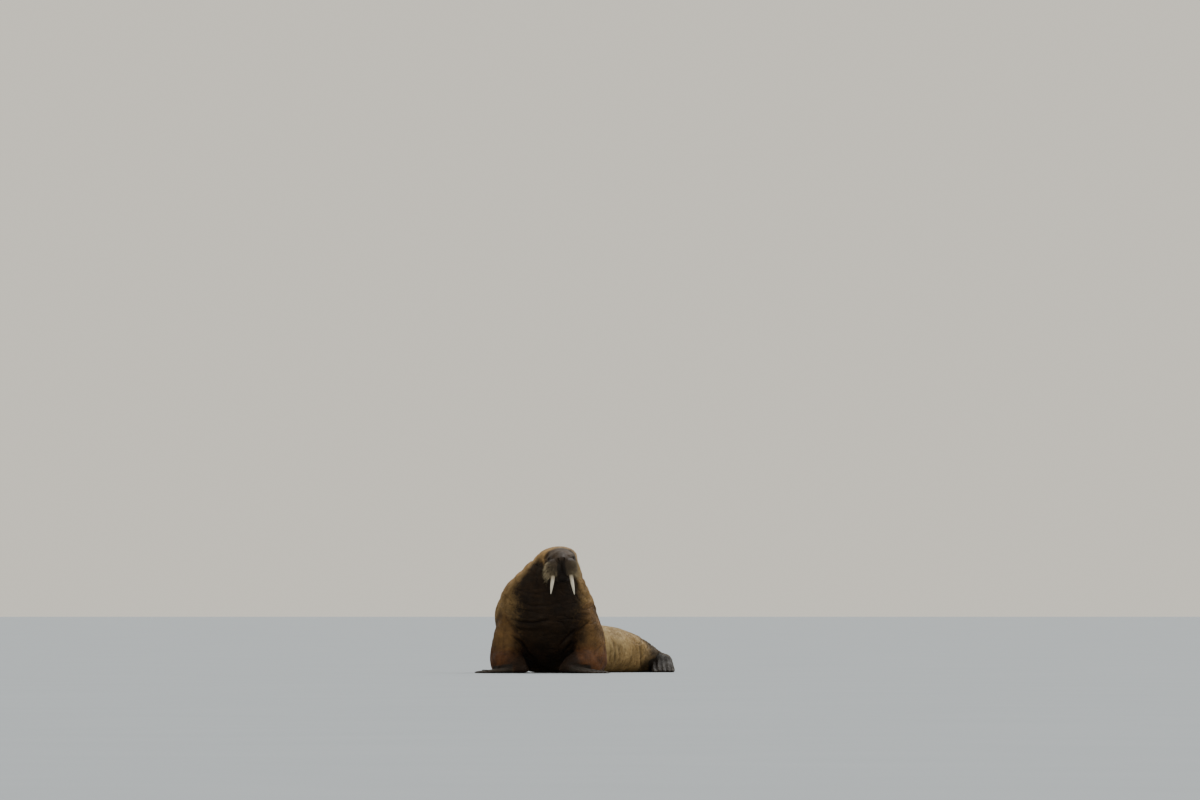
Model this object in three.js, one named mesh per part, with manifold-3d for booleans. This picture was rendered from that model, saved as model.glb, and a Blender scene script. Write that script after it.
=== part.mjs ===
// A walrus propped up on its foreflippers, life size, in millimetres with +Z up.
// It faces -Y with its head turned a little to +X, and its hind end lies back and to +X.
// The forms are lofted sections and lumps, joined and then parted by thin cuts into named nodes.
import * as THREE from "three";
import { LoftGeometry } from "three/addons/geometries/LoftGeometry.js";
import { mergeVertices } from "three/addons/utils/BufferGeometryUtils.js";
import Module from "manifold-3d";

// Gap between neighbouring nodes.
const GAP = 0.3;
// Facets that differ from flat by less than this are joined.
const FLAT = 0.08;
// Vertices closer than this are one.
const WELD = 1e-3;

// Where a form comes down on the floor, its skin rounds off over this height.
const BODY_CONTACT = 40;
const FLIPPER_CONTACT = 3;
// Forms that only cut their neighbours reach this far under the floor.
const CUTTER_DROP = 1;

// The trunk from the nape to the hocks. "side" is the half width, "back" and "belly" the
// heights of the section above and below its centre, "turn" the heading of the spine in
// degrees from +Y towards +X.
const TRUNK = {
  nape: { at: [100, -12, 1130], side: 220, back: 185, belly: 180, turn: 0 },
  neck: { at: [52, 15, 1000], side: 318, back: 240, belly: 228, turn: 0 },
  throat: { at: [16, 75, 860], side: 410, back: 275, belly: 270, turn: 2 },
  shoulder: { at: [12, 135, 745], side: 462, back: 295, belly: 310, turn: 4 },
  chest: { at: [8, 215, 615], side: 506, back: 325, belly: 350, turn: 6 },
  brisket: { at: [16, 340, 490], side: 514, back: 330, belly: 405, turn: 9 },
  ribs: { at: [50, 520, 390], side: 495, back: 305, belly: 420, turn: 18 },
  waist: { at: [130, 720, 320], side: 468, back: 285, belly: 395, turn: 32 },
  loin: { at: [270, 905, 280], side: 445, back: 265, belly: 350, turn: 47 },
  rump: { at: [470, 1055, 250], side: 425, back: 243, belly: 320, turn: 58 },
  hips: { at: [690, 1155, 222], side: 380, back: 226, belly: 290, turn: 66 },
  thighs: { at: [890, 1220, 178], side: 305, back: 188, belly: 240, turn: 72 },
  shanks: { at: [1050, 1262, 135], side: 225, back: 138, belly: 185, turn: 75 },
  hocks: { at: [1172, 1293, 98], side: 150, back: 92, belly: 140, turn: 77 },
};
const TRUNK_SHAPE = { rings: 36, around: 28, front: 146, rear: 100, domeRings: 4 };

// The head in its own frame: x to the side, y back from the muzzle, z up.
const HEAD = { at: [165, -200, 1110], pitch: 4, roll: 3.5 };
const SKULL = {
  snout: { at: [0, -150, 0], side: 82, back: 66, belly: 80, turn: 0 },
  bridge: { at: [0, -95, 4], side: 116, back: 96, belly: 105, turn: 0 },
  eyes: { at: [0, -35, 5], side: 138, back: 112, belly: 125, turn: 0 },
  brow: { at: [0, 35, 8], side: 154, back: 120, belly: 148, turn: 0 },
  crown: { at: [-8, 115, 6], side: 162, back: 136, belly: 165, turn: 0 },
  nape: { at: [-24, 190, -6], side: 168, back: 142, belly: 170, turn: 0 },
};
const SKULL_SHAPE = { rings: 9, around: 24, front: 30, rear: 60, domeRings: 4 };

// Lumps of the face. A power over 2 squares a lump off, and "mesh" is its rows and its sides.
const PAD = { at: [69, -128, -68], radii: [92, 84, 95], power: 2.3, mesh: [10, 18] };
const NOSE = { at: [0, -142, -2], radii: [74, 70, 60], power: 2.3, mesh: [8, 16] };
const JAW = { at: [0, -72, -150], radii: [92, 104, 62], power: 2.2, mesh: [8, 18] };
const LIP = { at: [0, -150, -136], radii: [54, 30, 20], power: 2, mesh: [6, 12] };
const BROW = { at: [92, -20, 36], radii: [44, 70, 44], power: 2, mesh: [7, 14] };
const EYEBALL = { at: [116, -44, 30], radii: [20, 20, 20], power: 2, mesh: [8, 12] };
const LIDS = { at: [117.5, -44, 30], radii: [26, 28, 25], power: 2, mesh: [7, 12] };
const EAR_FOLD = { at: [158, 62, 12], radii: [9, 17, 12], power: 2, mesh: [5, 8] };
const EAR_HOLE = { at: [164, 55, 11], radii: [9, 4.5, 4.5], power: 2, mesh: [4, 6] };

// The opening between the lids: an almond that looks forwards and out, "tilt" down in front,
// and grows from the middle of the eyeball outwards.
const EYE_OPENING = { long: 18, tall: 10, tilt: 14, forwards: 32, shares: [0.55, 1, 1.5] };
const LID_CURVE = 1.4;
// A nostril is a bent slit: part of a ring of this radius, thickest at its lower end.
const NOSTRIL = { at: [33, -203, 12], radius: 15, spread: 70, inwards: 4 };
const NOSTRIL_RADII = [6.3, 3.6, 4.2, 3.6, 2.1];

// The tusks leave the mouth under the whisker pads and spread towards their tips; the left
// one is a little longer.
const TUSK = {
  root: [80, -140, -92],
  tip: { out: 118, ahead: -150, left: -346, right: -326 },
  lean: -8,
  bow: 20,
  radii: [20, 19.5, 18.5, 16, 11, 3.5],
  sides: 10,
};

// Bristles stand in rows on the front and outer face of each pad, "down" it from near its
// top and "round" it in degrees from the middle of the lip to the cheek. They lean outwards
// and down, and the lowest outer ones are longest.
const BRISTLES = {
  rows: 4,
  columns: 10,
  down: [0.34, 0.78],
  round: [-100, 25],
  lengths: [28, 70],
  radii: [2.4, 1.7, 0.4],
  sunk: 12,
  lean: [0.35, 0, -0.55],
  droop: 0.12,
};
// How far a bristle's place and length differ from those of its neighbours.
const UNEVEN = { down: 0.02, round: 0.4, length: 0.3 };
const OTHER_SIDE_SEEDS = 500;

// The forelimbs in the frame of the chest: out to the side, back, and up.
const CHEST_FRAME = { at: [25, 60], turn: 8 };
const UPPER_ARM = {
  shoulder: { at: [372, 120, 570], wide: 118, deep: 180 },
  middle: { at: [398, 75, 390], wide: 154, deep: 192 },
  elbow: { at: [424, 15, 140], wide: 170, deep: 170 },
};
const FOREARM = {
  elbow: { at: [424, -20, 112], wide: 166, deep: 176 },
  middle: { at: [356, -122, 90], wide: 152, deep: 158 },
  lower: { at: [288, -196, 60], wide: 122, deep: 118 },
  wrist: { at: [236, -236, 36], wide: 90, deep: 80 },
};
const FOREARM_TURN = 38;
const UPPER_ARM_SHAPE = { rings: 4, around: 18, front: 90, rear: 150, domeRings: 4 };
const FOREARM_SHAPE = { rings: 5, around: 18, front: 150, rear: 78, domeRings: 4 };

// Flippers lie flat on the floor. Half widths and heights run from the root to the tips of
// the digits, and "lengths" from the leading digit to the trailing one. "ridge" is how far a
// digit stands up from the web, and "notch" how far the web is set back between the tips.
const FOREFLIPPER = {
  widths: [62, 92, 106, 114, 115, 106, 92],
  heights: [66, 72, 60, 44, 32, 22, 11],
  lengths: [1, 0.985, 0.94, 0.88, 0.82],
  ridge: 9,
  notch: 13,
  claws: [0.8, 0.4, 0, -0.4, -0.8],
  claw: { place: 0.86, length: 20, width: 5, height: 4 },
};
const HINDFLIPPER = {
  widths: [104, 112, 128, 150, 172, 190, 196],
  heights: [205, 186, 148, 104, 66, 36, 13],
  lengths: [1, 0.93, 0.9, 0.93, 1],
  ridge: 15,
  notch: 26,
  claws: [0.4, 0, -0.4],
  claw: { place: 0.84, length: 30, width: 6.5, height: 6 },
};
const FLIPPER_RINGS = 9;
// "heading" and "bow" are the flipper's heading at its root and the turn towards its tips,
// "lead" the side of its leading digit, and "spread" how far its digits are apart.
const FLIPPERS = {
  foreflipper_right: { at: [-222, -132], heading: 182, bow: -6, length: 500, lead: -1, spread: 1 },
  foreflipper_left: { at: [212, -196], heading: -36, bow: -4, length: 512, lead: 1, spread: 1 },
  hindflipper_left: { at: [1186, 1232], heading: -92, bow: 3, length: 425, lead: 1, spread: 0.55 },
  hindflipper_right: { at: [1120, 1385], heading: 128, bow: -4, length: 410, lead: -1, spread: 1 },
};
// Across a flipper, from the leading edge at 1 to the trailing edge at -1.
const OVER = [1, 0.93, 0.8, 0.6, 0.4, 0.2, 0, -0.2, -0.4, -0.6, -0.8, -0.93];
const UNDER = [-1, -0.93, -0.6, -0.2, 0.2, 0.6, 0.93];
const DIGITS = 5;

const TAIL = { at: [1214, 1322, 90], radii: [76, 39, 26], power: 2, mesh: [10, 16] };

// The head is what lies within this round of the skull.
const FACE_ROUND = { at: [165, -150, 1105], radii: [222, 225, 232], power: 2, mesh: [10, 20] };
// Cuts across the trunk, each through a point and square to a direction towards the head.
const CUTS = {
  throat: { at: [12, 110, 800], towards: [0.05, -0.36, 0.93] },
  waist: { at: [75, 590, 360], towards: [-0.3, -0.93, 0.22] },
  hips: { at: [600, 1110, 230], towards: [-0.9, -0.43, 0.06] },
};

const SKINS = {
  hide: { color: "#8a7355", roughness: 0.72 },
  dark_hide: { color: "#57483a", roughness: 0.7 },
  muzzle: { color: "#6f6460", roughness: 0.62 },
  flipper: { color: "#4b453f", roughness: 0.66 },
  ivory: { color: "#d9d3c2", roughness: 0.38 },
  eye: { color: "#2a1512", roughness: 0.08 },
};

const wasm = await Module();
wasm.setup();

// A repeatable value between -0.5 and 0.5 for each whole number.
const scatter = (index) => {
  const value = Math.sin(index * 127.1 + 11.7) * 43758.5453;
  return value - Math.floor(value) - 0.5;
};

const radians = THREE.MathUtils.degToRad;
const mix = THREE.MathUtils.lerp;

// The height of a point once a form rests on the floor: level below, rounded, then free.
function settle(z, contact) {
  if (z <= -contact) return 0;
  if (z >= contact) return z;
  return (z + contact) ** 2 / (4 * contact);
}

// Catmull-Rom value at share t of a row of equally spaced numbers.
function smooth(values, t) {
  const last = values.length - 1;
  const start = Math.min(Math.floor(t * last), last - 1);
  const f = t * last - start;
  const before = start > 0 ? values[start - 1] : 2 * values[0] - values[1];
  const after = start + 2 <= last ? values[start + 2] : 2 * values[last] - values[last - 1];
  const [a, b] = [values[start], values[start + 1]];
  return 0.5 * (2 * a + (b - before) * f + (2 * before - 5 * a + 4 * b - after) * f * f
    + (3 * a - before - 3 * b + after) * f ** 3);
}

function middleOf(points) {
  return points
    .reduce((sum, point) => sum.add(point), new THREE.Vector3())
    .divideScalar(points.length);
}

// Whether a row of sections runs forwards along the direction that their winding turns about.
function windsForwards(sections) {
  const start = Math.floor(sections.length / 2) - 1;
  const ring = sections[start];
  const centre = middleOf(ring);
  const winding = new THREE.Vector3();
  ring.forEach((point, k) => {
    const next = ring[(k + 1) % ring.length].clone().sub(centre);
    winding.add(point.clone().sub(centre).cross(next));
  });
  return winding.dot(middleOf(sections[start + 1]).sub(centre)) > 0;
}

// A closed solid through a row of sections, its faces turned outwards.
function loft(sections) {
  const ordered = windsForwards(sections) ? sections
    : sections.map((section) => section.slice().reverse());
  const lofted = new LoftGeometry(ordered, { capStart: true, capEnd: true });
  const bare = new THREE.BufferGeometry();
  bare.setAttribute("position", lofted.getAttribute("position"));
  bare.setIndex(lofted.index);
  const merged = mergeVertices(bare, WELD);
  const index = merged.index.array;
  const faces = [];
  for (let i = 0; i < index.length; i += 3) {
    const [a, b, c] = [index[i], index[i + 1], index[i + 2]];
    if (a !== b && b !== c && a !== c) faces.push(a, b, c);
  }
  return new wasm.Manifold(new wasm.Mesh({
    numProp: 3,
    vertProperties: merged.attributes.position.array,
    triVerts: new Uint32Array(faces),
  }));
}

// The largest closed surface of a solid.
function largest(solid) {
  return solid.decompose().sort((a, b) => b.volume() - a.volume())[0];
}

// Egg-shaped sections along a row of stations, with a rounded dome at each end.
function sectionsAlong(stations, shape, grow) {
  const rows = Object.values(stations);
  const read = (key, t) => smooth(rows.map((row) => row[key]), t);
  const centre = (t) => new THREE.Vector3(
    ...[0, 1, 2].map((axis) => smooth(rows.map((row) => row.at[axis]), t)));
  const step = 1e-3;
  const ring = (t, scale, push) => {
    const along = centre(Math.min(1, t + step)).sub(centre(Math.max(0, t - step))).normalize();
    const turn = radians(read("turn", t));
    const across = new THREE.Vector3(Math.cos(turn), -Math.sin(turn), 0);
    const dorsal = new THREE.Vector3().crossVectors(across, along).normalize();
    const middle = centre(t).addScaledVector(along, push);
    return Array.from({ length: shape.around }, (_, k) => {
      const angle = (k / shape.around) * 2 * Math.PI;
      const tall = read(Math.sin(angle) >= 0 ? "back" : "belly", t) + grow;
      return middle.clone()
        .addScaledVector(across, (read("side", t) + grow) * scale * Math.cos(angle))
        .addScaledVector(dorsal, tall * scale * Math.sin(angle));
    });
  };
  // A dome's rings, as shares of the way from its tip to its root; the first is a small cap.
  const shares = Array.from({ length: shape.domeRings }, (_, i) => Math.max(i, 0.35) / shape.domeRings);
  const dome = (t, length, order) => order.map((share) => {
    const phi = share * Math.PI / 2;
    return ring(t, Math.sin(phi), length * Math.cos(phi));
  });
  return [
    ...dome(0, -shape.front - grow, shares),
    ...Array.from({ length: shape.rings + 1 }, (_, i) => ring(i / shape.rings, 1, 0)),
    ...dome(1, shape.rear + grow, shares.slice().reverse()),
  ];
}

// The same sections lowered onto the floor; the underside of a cutter goes a little below it.
function settled(sections, contact, grow) {
  sections.forEach((section) => section.forEach((point) => {
    const above = THREE.MathUtils.clamp((point.z + contact) / (2 * contact), 0, 1);
    point.z = settle(point.z, contact) - (grow ? CUTTER_DROP * (1 - above) : 0);
  }));
  return sections;
}

// Sections of a rounded lump, from its top down; the first and last are small caps.
function lump({ at, radii, power, mesh: [rows, sides] }, grow = 0) {
  const bend = (value) => Math.sign(value) * Math.abs(value) ** (2 / power);
  const [wide, deep, tall] = radii.map((radius) => radius + grow);
  return Array.from({ length: rows + 1 }, (_, i) => {
    const phi = THREE.MathUtils.clamp(i, 0.3, rows - 0.3) / rows * Math.PI;
    return Array.from({ length: sides }, (_, k) => {
      const theta = (k / sides) * 2 * Math.PI;
      return new THREE.Vector3(
        at[0] + wide * bend(Math.sin(phi)) * bend(Math.cos(theta)),
        at[1] + deep * bend(Math.sin(phi)) * bend(Math.sin(theta)),
        at[2] + tall * bend(Math.cos(phi)),
      );
    });
  });
}

// Sections of a rod through a row of points, with one radius for each.
function rod(points, radii, sides) {
  const curve = new THREE.CatmullRomCurve3(points);
  const frames = curve.computeFrenetFrames(points.length - 1);
  return points.map((point, i) => Array.from({ length: sides }, (_, k) => {
    const angle = (k / sides) * 2 * Math.PI;
    return point.clone()
      .addScaledVector(frames.normals[i], radii[i] * Math.cos(angle))
      .addScaledVector(frames.binormals[i], radii[i] * Math.sin(angle));
  }));
}

// Trunk
const trunk = (grow = 0) => loft(settled(
  sectionsAlong(TRUNK, TRUNK_SHAPE, grow), BODY_CONTACT, grow));

// Head
const headFrame = new THREE.Matrix4()
  .makeTranslation(...HEAD.at)
  .multiply(new THREE.Matrix4().makeRotationFromEuler(new THREE.Euler(
    radians(-HEAD.pitch), radians(-HEAD.roll), 0)));
const onHead = (sections) => loft(sections.map(
  (section) => section.map((point) => point.clone().applyMatrix4(headFrame))));
const mirrored = (at, side) => [at[0] * side, at[1], at[2]];
const lumpOnHead = (form, side, grow = 0) => onHead(lump(
  { ...form, at: mirrored(form.at, side) }, grow));

const skull = (grow = 0) => onHead(sectionsAlong(SKULL, SKULL_SHAPE, grow));
const pad = (side, grow = 0) => lumpOnHead(PAD, side, grow);
const nose = (grow = 0) => lumpOnHead(NOSE, 1, grow);
const jaw = (grow = 0) => lumpOnHead(JAW, 1, grow).add(lumpOnHead(LIP, 1, grow));

function tusk(side, grow = 0) {
  const root = new THREE.Vector3(...mirrored(TUSK.root, side));
  const reach = side > 0 ? TUSK.tip.left : TUSK.tip.right;
  const tip = new THREE.Vector3(side * TUSK.tip.out + TUSK.lean, TUSK.tip.ahead, reach);
  const last = TUSK.radii.length - 1;
  const points = TUSK.radii.map((_, i) => {
    const point = root.clone().lerp(tip, i / last);
    point.y -= TUSK.bow * Math.sin(Math.PI * i / last);
    return point;
  });
  points[0].z += grow;
  points[last].z -= grow;
  return onHead(rod(points, TUSK.radii.map((radius) => radius + grow), TUSK.sides));
}

function eyeOpening(side) {
  const tilt = radians(EYE_OPENING.tilt);
  const forwards = radians(EYE_OPENING.forwards);
  const outwards = new THREE.Vector3(side * Math.cos(forwards), -Math.sin(forwards), 0);
  const backwards = new THREE.Vector3(side * Math.sin(forwards), Math.cos(forwards), 0);
  const sides = 12;
  return onHead(EYE_OPENING.shares.map((share) => Array.from({ length: sides }, (_, k) => {
    const angle = (k / sides) * 2 * Math.PI;
    const rise = Math.sign(Math.sin(angle)) * Math.abs(Math.sin(angle)) ** LID_CURVE;
    const long = EYE_OPENING.long * share * Math.cos(angle);
    const tall = EYE_OPENING.tall * share * rise;
    const point = new THREE.Vector3(...mirrored(EYEBALL.at, side))
      .addScaledVector(outwards, EYEBALL.radii[0] * (share - 0.1))
      .addScaledVector(backwards, long * Math.cos(tilt) - tall * Math.sin(tilt));
    point.z += tall * Math.cos(tilt) - long * Math.sin(tilt);
    return point;
  })));
}

function nostril(side) {
  const last = NOSTRIL_RADII.length - 1;
  const points = NOSTRIL_RADII.map((_, i) => {
    const share = 2 * i / last - 1;
    const angle = radians(NOSTRIL.spread) * share;
    return new THREE.Vector3(
      side * (NOSTRIL.at[0] - NOSTRIL.radius * (1 - Math.cos(angle))),
      NOSTRIL.at[1] + NOSTRIL.inwards * Math.abs(share),
      NOSTRIL.at[2] + NOSTRIL.radius * Math.sin(angle),
    );
  });
  return onHead(rod(points, NOSTRIL_RADII, 6));
}

// One bristle: three sides, bent down towards its tip, its root sunk in the pad.
function bristle(start, direction, length) {
  const points = [0, 0.5, 1].map((share) => start.clone()
    .addScaledVector(direction, (length + BRISTLES.sunk) * share - BRISTLES.sunk)
    .add(new THREE.Vector3(0, 0, -BRISTLES.droop * length * share * share)));
  return onHead(rod(points, BRISTLES.radii, 3));
}
function bristles(side) {
  const all = [];
  const centre = new THREE.Vector3(...mirrored(PAD.at, side));
  const lean = new THREE.Vector3(...mirrored(BRISTLES.lean, side));
  for (let row = 0; row < BRISTLES.rows; row++) {
    for (let column = 0; column < BRISTLES.columns; column++) {
      const seed = 3 * (row * BRISTLES.columns + column) + (side > 0 ? 0 : OTHER_SIDE_SEEDS);
      const low = (row + 0.5) / BRISTLES.rows;
      const round = (column + 0.5 + UNEVEN.round * scatter(seed)) / BRISTLES.columns;
      const phi = Math.PI * (mix(...BRISTLES.down, low) + UNEVEN.down * scatter(seed + 1));
      const theta = radians(mix(...BRISTLES.round, round));
      const direction = new THREE.Vector3(
        side * Math.sin(phi) * Math.cos(theta), Math.sin(phi) * Math.sin(theta), Math.cos(phi));
      const start = direction.clone().multiply(new THREE.Vector3(...PAD.radii)).add(centre);
      const growth = round * mix(0.5, 1, row / (BRISTLES.rows - 1));
      const length = mix(...BRISTLES.lengths, growth) * (1 + UNEVEN.length * scatter(seed + 2));
      all.push(bristle(start, direction.add(lean).normalize(), length));
    }
  }
  return all;
}

// Forelimbs
function onChest([out, back, up], side) {
  const turn = radians(CHEST_FRAME.turn);
  return [
    CHEST_FRAME.at[0] + side * out * Math.cos(turn) + back * Math.sin(turn),
    CHEST_FRAME.at[1] - side * out * Math.sin(turn) + back * Math.cos(turn),
    up,
  ];
}
function limbTube(stations, side, turn, shape, grow) {
  const rows = Object.values(stations).map(({ at, wide, deep }) => ({
    at: onChest(at, side),
    side: wide,
    back: deep,
    belly: deep,
    turn: CHEST_FRAME.turn + side * turn,
  }));
  return loft(settled(sectionsAlong(rows, shape, grow), BODY_CONTACT, grow));
}
const forelimb = (side, grow = 0) => limbTube(UPPER_ARM, side, 0, UPPER_ARM_SHAPE, grow)
  .add(limbTube(FOREARM, side, FOREARM_TURN, FOREARM_SHAPE, grow));

// Flippers. A point lies at s across and u along, on the upper or the under face.
function flipperPoint(form, place, s, u, upper) {
  const digit = Math.cos(Math.PI * DIGITS * s);
  const reach = smooth(form.lengths, (1 - s) / 2) * place.length * u
    + form.notch * 0.5 * (digit - 1) * u ** 4;
  const heading = radians(place.heading + place.bow * u);
  const wide = smooth(form.widths, u) * mix(1, place.spread, u) * s * place.lead;
  const tall = smooth(form.heights, u);
  const edge = 1 - s ** 8;
  const crest = form.ridge * (0.5 + 0.5 * digit) * edge
    * Math.sin(Math.PI / 2 * Math.min(1, u * 1.15)) * Math.min(1, tall / form.ridge);
  const half = tall / 2;
  const round = half * Math.sqrt(Math.max(0, 1 - Math.abs(s) ** 2.4));
  return new THREE.Vector3(
    place.at[0] + Math.cos(heading) * reach - Math.sin(heading) * wide,
    place.at[1] + Math.sin(heading) * reach + Math.cos(heading) * wide,
    half + (upper ? round + crest : -round) - FLIPPER_CONTACT,
  );
}
// A claw lies along its digit, set back from the margin, its root sunk in the skin.
function claw(form, place, s) {
  const { place: share, length, width, height } = form.claw;
  const back = flipperPoint(form, place, s, share - 0.06, true);
  const along = flipperPoint(form, place, s, share + 0.04, true).sub(back).normalize();
  const points = [0, 0.5, 1].map((part) => back.clone()
    .addScaledVector(along, length * (part - 0.1))
    .add(new THREE.Vector3(0, 0, height * (Math.sin(Math.PI * mix(0.25, 0.8, part)) - 0.9))));
  return loft(rod(points, [width, width * 0.85, 0.8], 6));
}
function flipper(form, place) {
  const sections = Array.from({ length: FLIPPER_RINGS + 1 }, (_, i) => [
    ...OVER.map((s) => flipperPoint(form, place, s, i / FLIPPER_RINGS, true)),
    ...UNDER.map((s) => flipperPoint(form, place, s, i / FLIPPER_RINGS, false)),
  ]);
  const blade = loft(settled(sections, FLIPPER_CONTACT, 0));
  return form.claws.reduce((sum, s) => sum.add(claw(form, place, s)), blade);
}

const tail = () => loft(settled(lump(TAIL), FLIPPER_CONTACT, 0));

// A cut square to a direction: the part ahead of it and the part behind it.
function parted(solid, { at, towards }) {
  const normal = new THREE.Vector3(...towards).normalize();
  const offset = normal.dot(new THREE.Vector3(...at));
  return [
    solid.trimByPlane(normal.toArray(), offset + GAP / 2),
    solid.trimByPlane(normal.clone().negate().toArray(), -offset + GAP / 2),
  ];
}

// Nodes of the trunk and the head
const solids = {};
const body = trunk().add(skull());
const behindFace = body.subtract(loft(lump(FACE_ROUND, GAP)));
let behind;
[solids.neck, behind] = parted(behindFace, CUTS.throat);
[solids.chest, behind] = parted(behind, CUTS.waist);
[solids.torso, solids.hips] = parted(behind, CUTS.hips);
solids.head = [1, -1].reduce((head, side) => head
  .add(lumpOnHead(LIDS, side)).add(lumpOnHead(BROW, side)).add(lumpOnHead(EAR_FOLD, side))
  .subtract(eyeOpening(side)).subtract(lumpOnHead(EYEBALL, side, GAP))
  .subtract(lumpOnHead(EAR_HOLE, side)).subtract(tusk(side, GAP)),
body.intersect(loft(lump(FACE_ROUND))));

// Nodes of the muzzle, clear of the skull and of each other; the pads part along the lip.
const flesh = trunk(GAP).add(skull(GAP));
const bothTusks = tusk(1, GAP).add(tusk(-1, GAP));
solids.nose = nose().subtract(flesh).subtract(nostril(1)).subtract(nostril(-1));
solids.lower_jaw = jaw().subtract(flesh).subtract(nose(GAP)).subtract(bothTusks)
  .subtract(pad(1, GAP)).subtract(pad(-1, GAP));
const sideways = new THREE.Vector3(1, 0, 0).transformDirection(headFrame);
for (const [name, side] of [["left", 1], ["right", -1]]) {
  const bristled = bristles(side).reduce((sum, one) => sum.add(one), pad(side));
  solids["whisker_pad_" + name] = bristled.subtract(flesh).subtract(nose(GAP))
    .subtract(bothTusks).subtract(jaw(GAP))
    .trimByPlane(
      sideways.clone().multiplyScalar(side).toArray(),
      side * sideways.dot(new THREE.Vector3(...HEAD.at)) + GAP / 2);
  solids["eye_" + name] = lumpOnHead(EYEBALL, side);
  solids["tusk_" + name] = tusk(side);
}

// Nodes of the limbs and the tail
for (const [name, side] of [["left", 1], ["right", -1]]) {
  solids["forelimb_" + name] = forelimb(side).subtract(flesh);
  solids["foreflipper_" + name] = flipper(FOREFLIPPER, FLIPPERS["foreflipper_" + name])
    .subtract(forelimb(side, GAP)).subtract(flesh);
  solids["hindflipper_" + name] = flipper(HINDFLIPPER, FLIPPERS["hindflipper_" + name])
    .subtract(flesh);
}
solids.tail = tail().subtract(flesh);

const skinOf = (name) => {
  if (name.startsWith("tusk")) return "ivory";
  if (name.startsWith("eye")) return "eye";
  if (name.includes("flipper")) return "flipper";
  if (name === "nose" || name === "lower_jaw" || name.startsWith("whisker")) return "muzzle";
  if (name === "chest" || name.startsWith("forelimb")) return "dark_hide";
  return "hide";
};

function geometryOf(solid) {
  const mesh = largest(solid.simplify(FLAT)).getMesh();
  const positions = new Float32Array(mesh.numVert * 3);
  for (let i = 0; i < mesh.numVert; i++) {
    positions.set(mesh.vertProperties.subarray(i * mesh.numProp, i * mesh.numProp + 3), i * 3);
  }
  const geometry = new THREE.BufferGeometry();
  geometry.setAttribute("position", new THREE.BufferAttribute(positions, 3));
  geometry.setIndex(new THREE.BufferAttribute(new Uint32Array(mesh.triVerts), 1));
  geometry.computeVertexNormals();
  return geometry;
}

const walrus = new THREE.Group();
walrus.name = "walrus";
for (const [name, solid] of Object.entries(solids)) {
  const { color, roughness } = SKINS[skinOf(name)];
  const mesh = new THREE.Mesh(
    geometryOf(solid), new THREE.MeshStandardMaterial({ color, roughness, metalness: 0 }));
  mesh.name = name;
  walrus.add(mesh);
}

// The origin is the middle of the body's box, on the floor.
const middle = new THREE.Box3().setFromObject(walrus).getCenter(new THREE.Vector3());
for (const mesh of walrus.children) mesh.geometry.translate(-middle.x, -middle.y, 0);

export default walrus;
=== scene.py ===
import bmesh
import bpy
import numpy as np
from mathutils import Matrix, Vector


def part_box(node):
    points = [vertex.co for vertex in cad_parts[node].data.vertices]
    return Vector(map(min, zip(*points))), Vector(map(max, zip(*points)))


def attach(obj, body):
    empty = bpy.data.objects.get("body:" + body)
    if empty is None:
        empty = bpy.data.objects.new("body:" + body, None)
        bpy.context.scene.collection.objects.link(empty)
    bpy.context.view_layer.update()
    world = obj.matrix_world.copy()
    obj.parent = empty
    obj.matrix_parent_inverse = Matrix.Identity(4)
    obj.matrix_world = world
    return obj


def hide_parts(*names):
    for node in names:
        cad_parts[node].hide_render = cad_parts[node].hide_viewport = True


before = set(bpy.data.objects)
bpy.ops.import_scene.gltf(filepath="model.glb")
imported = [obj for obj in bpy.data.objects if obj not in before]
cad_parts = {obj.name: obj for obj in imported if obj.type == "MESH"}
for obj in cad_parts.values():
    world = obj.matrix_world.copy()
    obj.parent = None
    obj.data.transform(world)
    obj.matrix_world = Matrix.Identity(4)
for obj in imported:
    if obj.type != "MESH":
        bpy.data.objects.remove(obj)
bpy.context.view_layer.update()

# The body's own frame
# The walrus is laid out with its chest over the origin, its face to -Y and its left to +X. The
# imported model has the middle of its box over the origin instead, and its left eyeball, which is
# 116 mm out from the middle of the head, tells the step from the one frame to the other.
HEAD_PLACE = np.array([0.165, -0.200, 1.110])
HEAD_PITCH = np.radians(4)
HEAD_ROLL = np.radians(3.5)
EYE_PLACE = np.array([0.116, -0.044, 0.030])


def turned(angle, axis):
    """Rotation matrix about X, Y or Z."""
    return np.array(Matrix.Rotation(angle, 3, axis))


HEAD_TURN = turned(-HEAD_PITCH, "X") @ turned(-HEAD_ROLL, "Y")


def head_to_body(points):
    """Points of the head's frame turned by its pitch and roll and set on the neck."""
    return np.asarray(points) @ HEAD_TURN.T + HEAD_PLACE


def body_to_head(points):
    """The way back from the body's frame to the head's."""
    return (np.asarray(points) - HEAD_PLACE) @ HEAD_TURN


eye_box = np.array(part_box("eye_left"))
STEP = eye_box.mean(axis=0) - head_to_body(EYE_PLACE)


# Camera
# A long lens, a hundred metres in front of the chest and a little to its left, as high as the
# chest, looks slightly up. A level line of sight falls 198 pixels under the picture's middle.
LENS_PLACE = np.array([0.55, -100.0, 0.75])
SENSOR_WIDTH = 36
PICTURE_WIDTH = 1200
FOCAL_PIXELS = 10000
LEVEL_UNDER_MIDDLE = 198

CLIP_NEAR = 1
CLIP_FAR = 400


def add_object(name, data):
    """An object with this data, set in the scene."""
    made = bpy.data.objects.new(name, data)
    bpy.context.scene.collection.objects.link(made)
    return made


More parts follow.
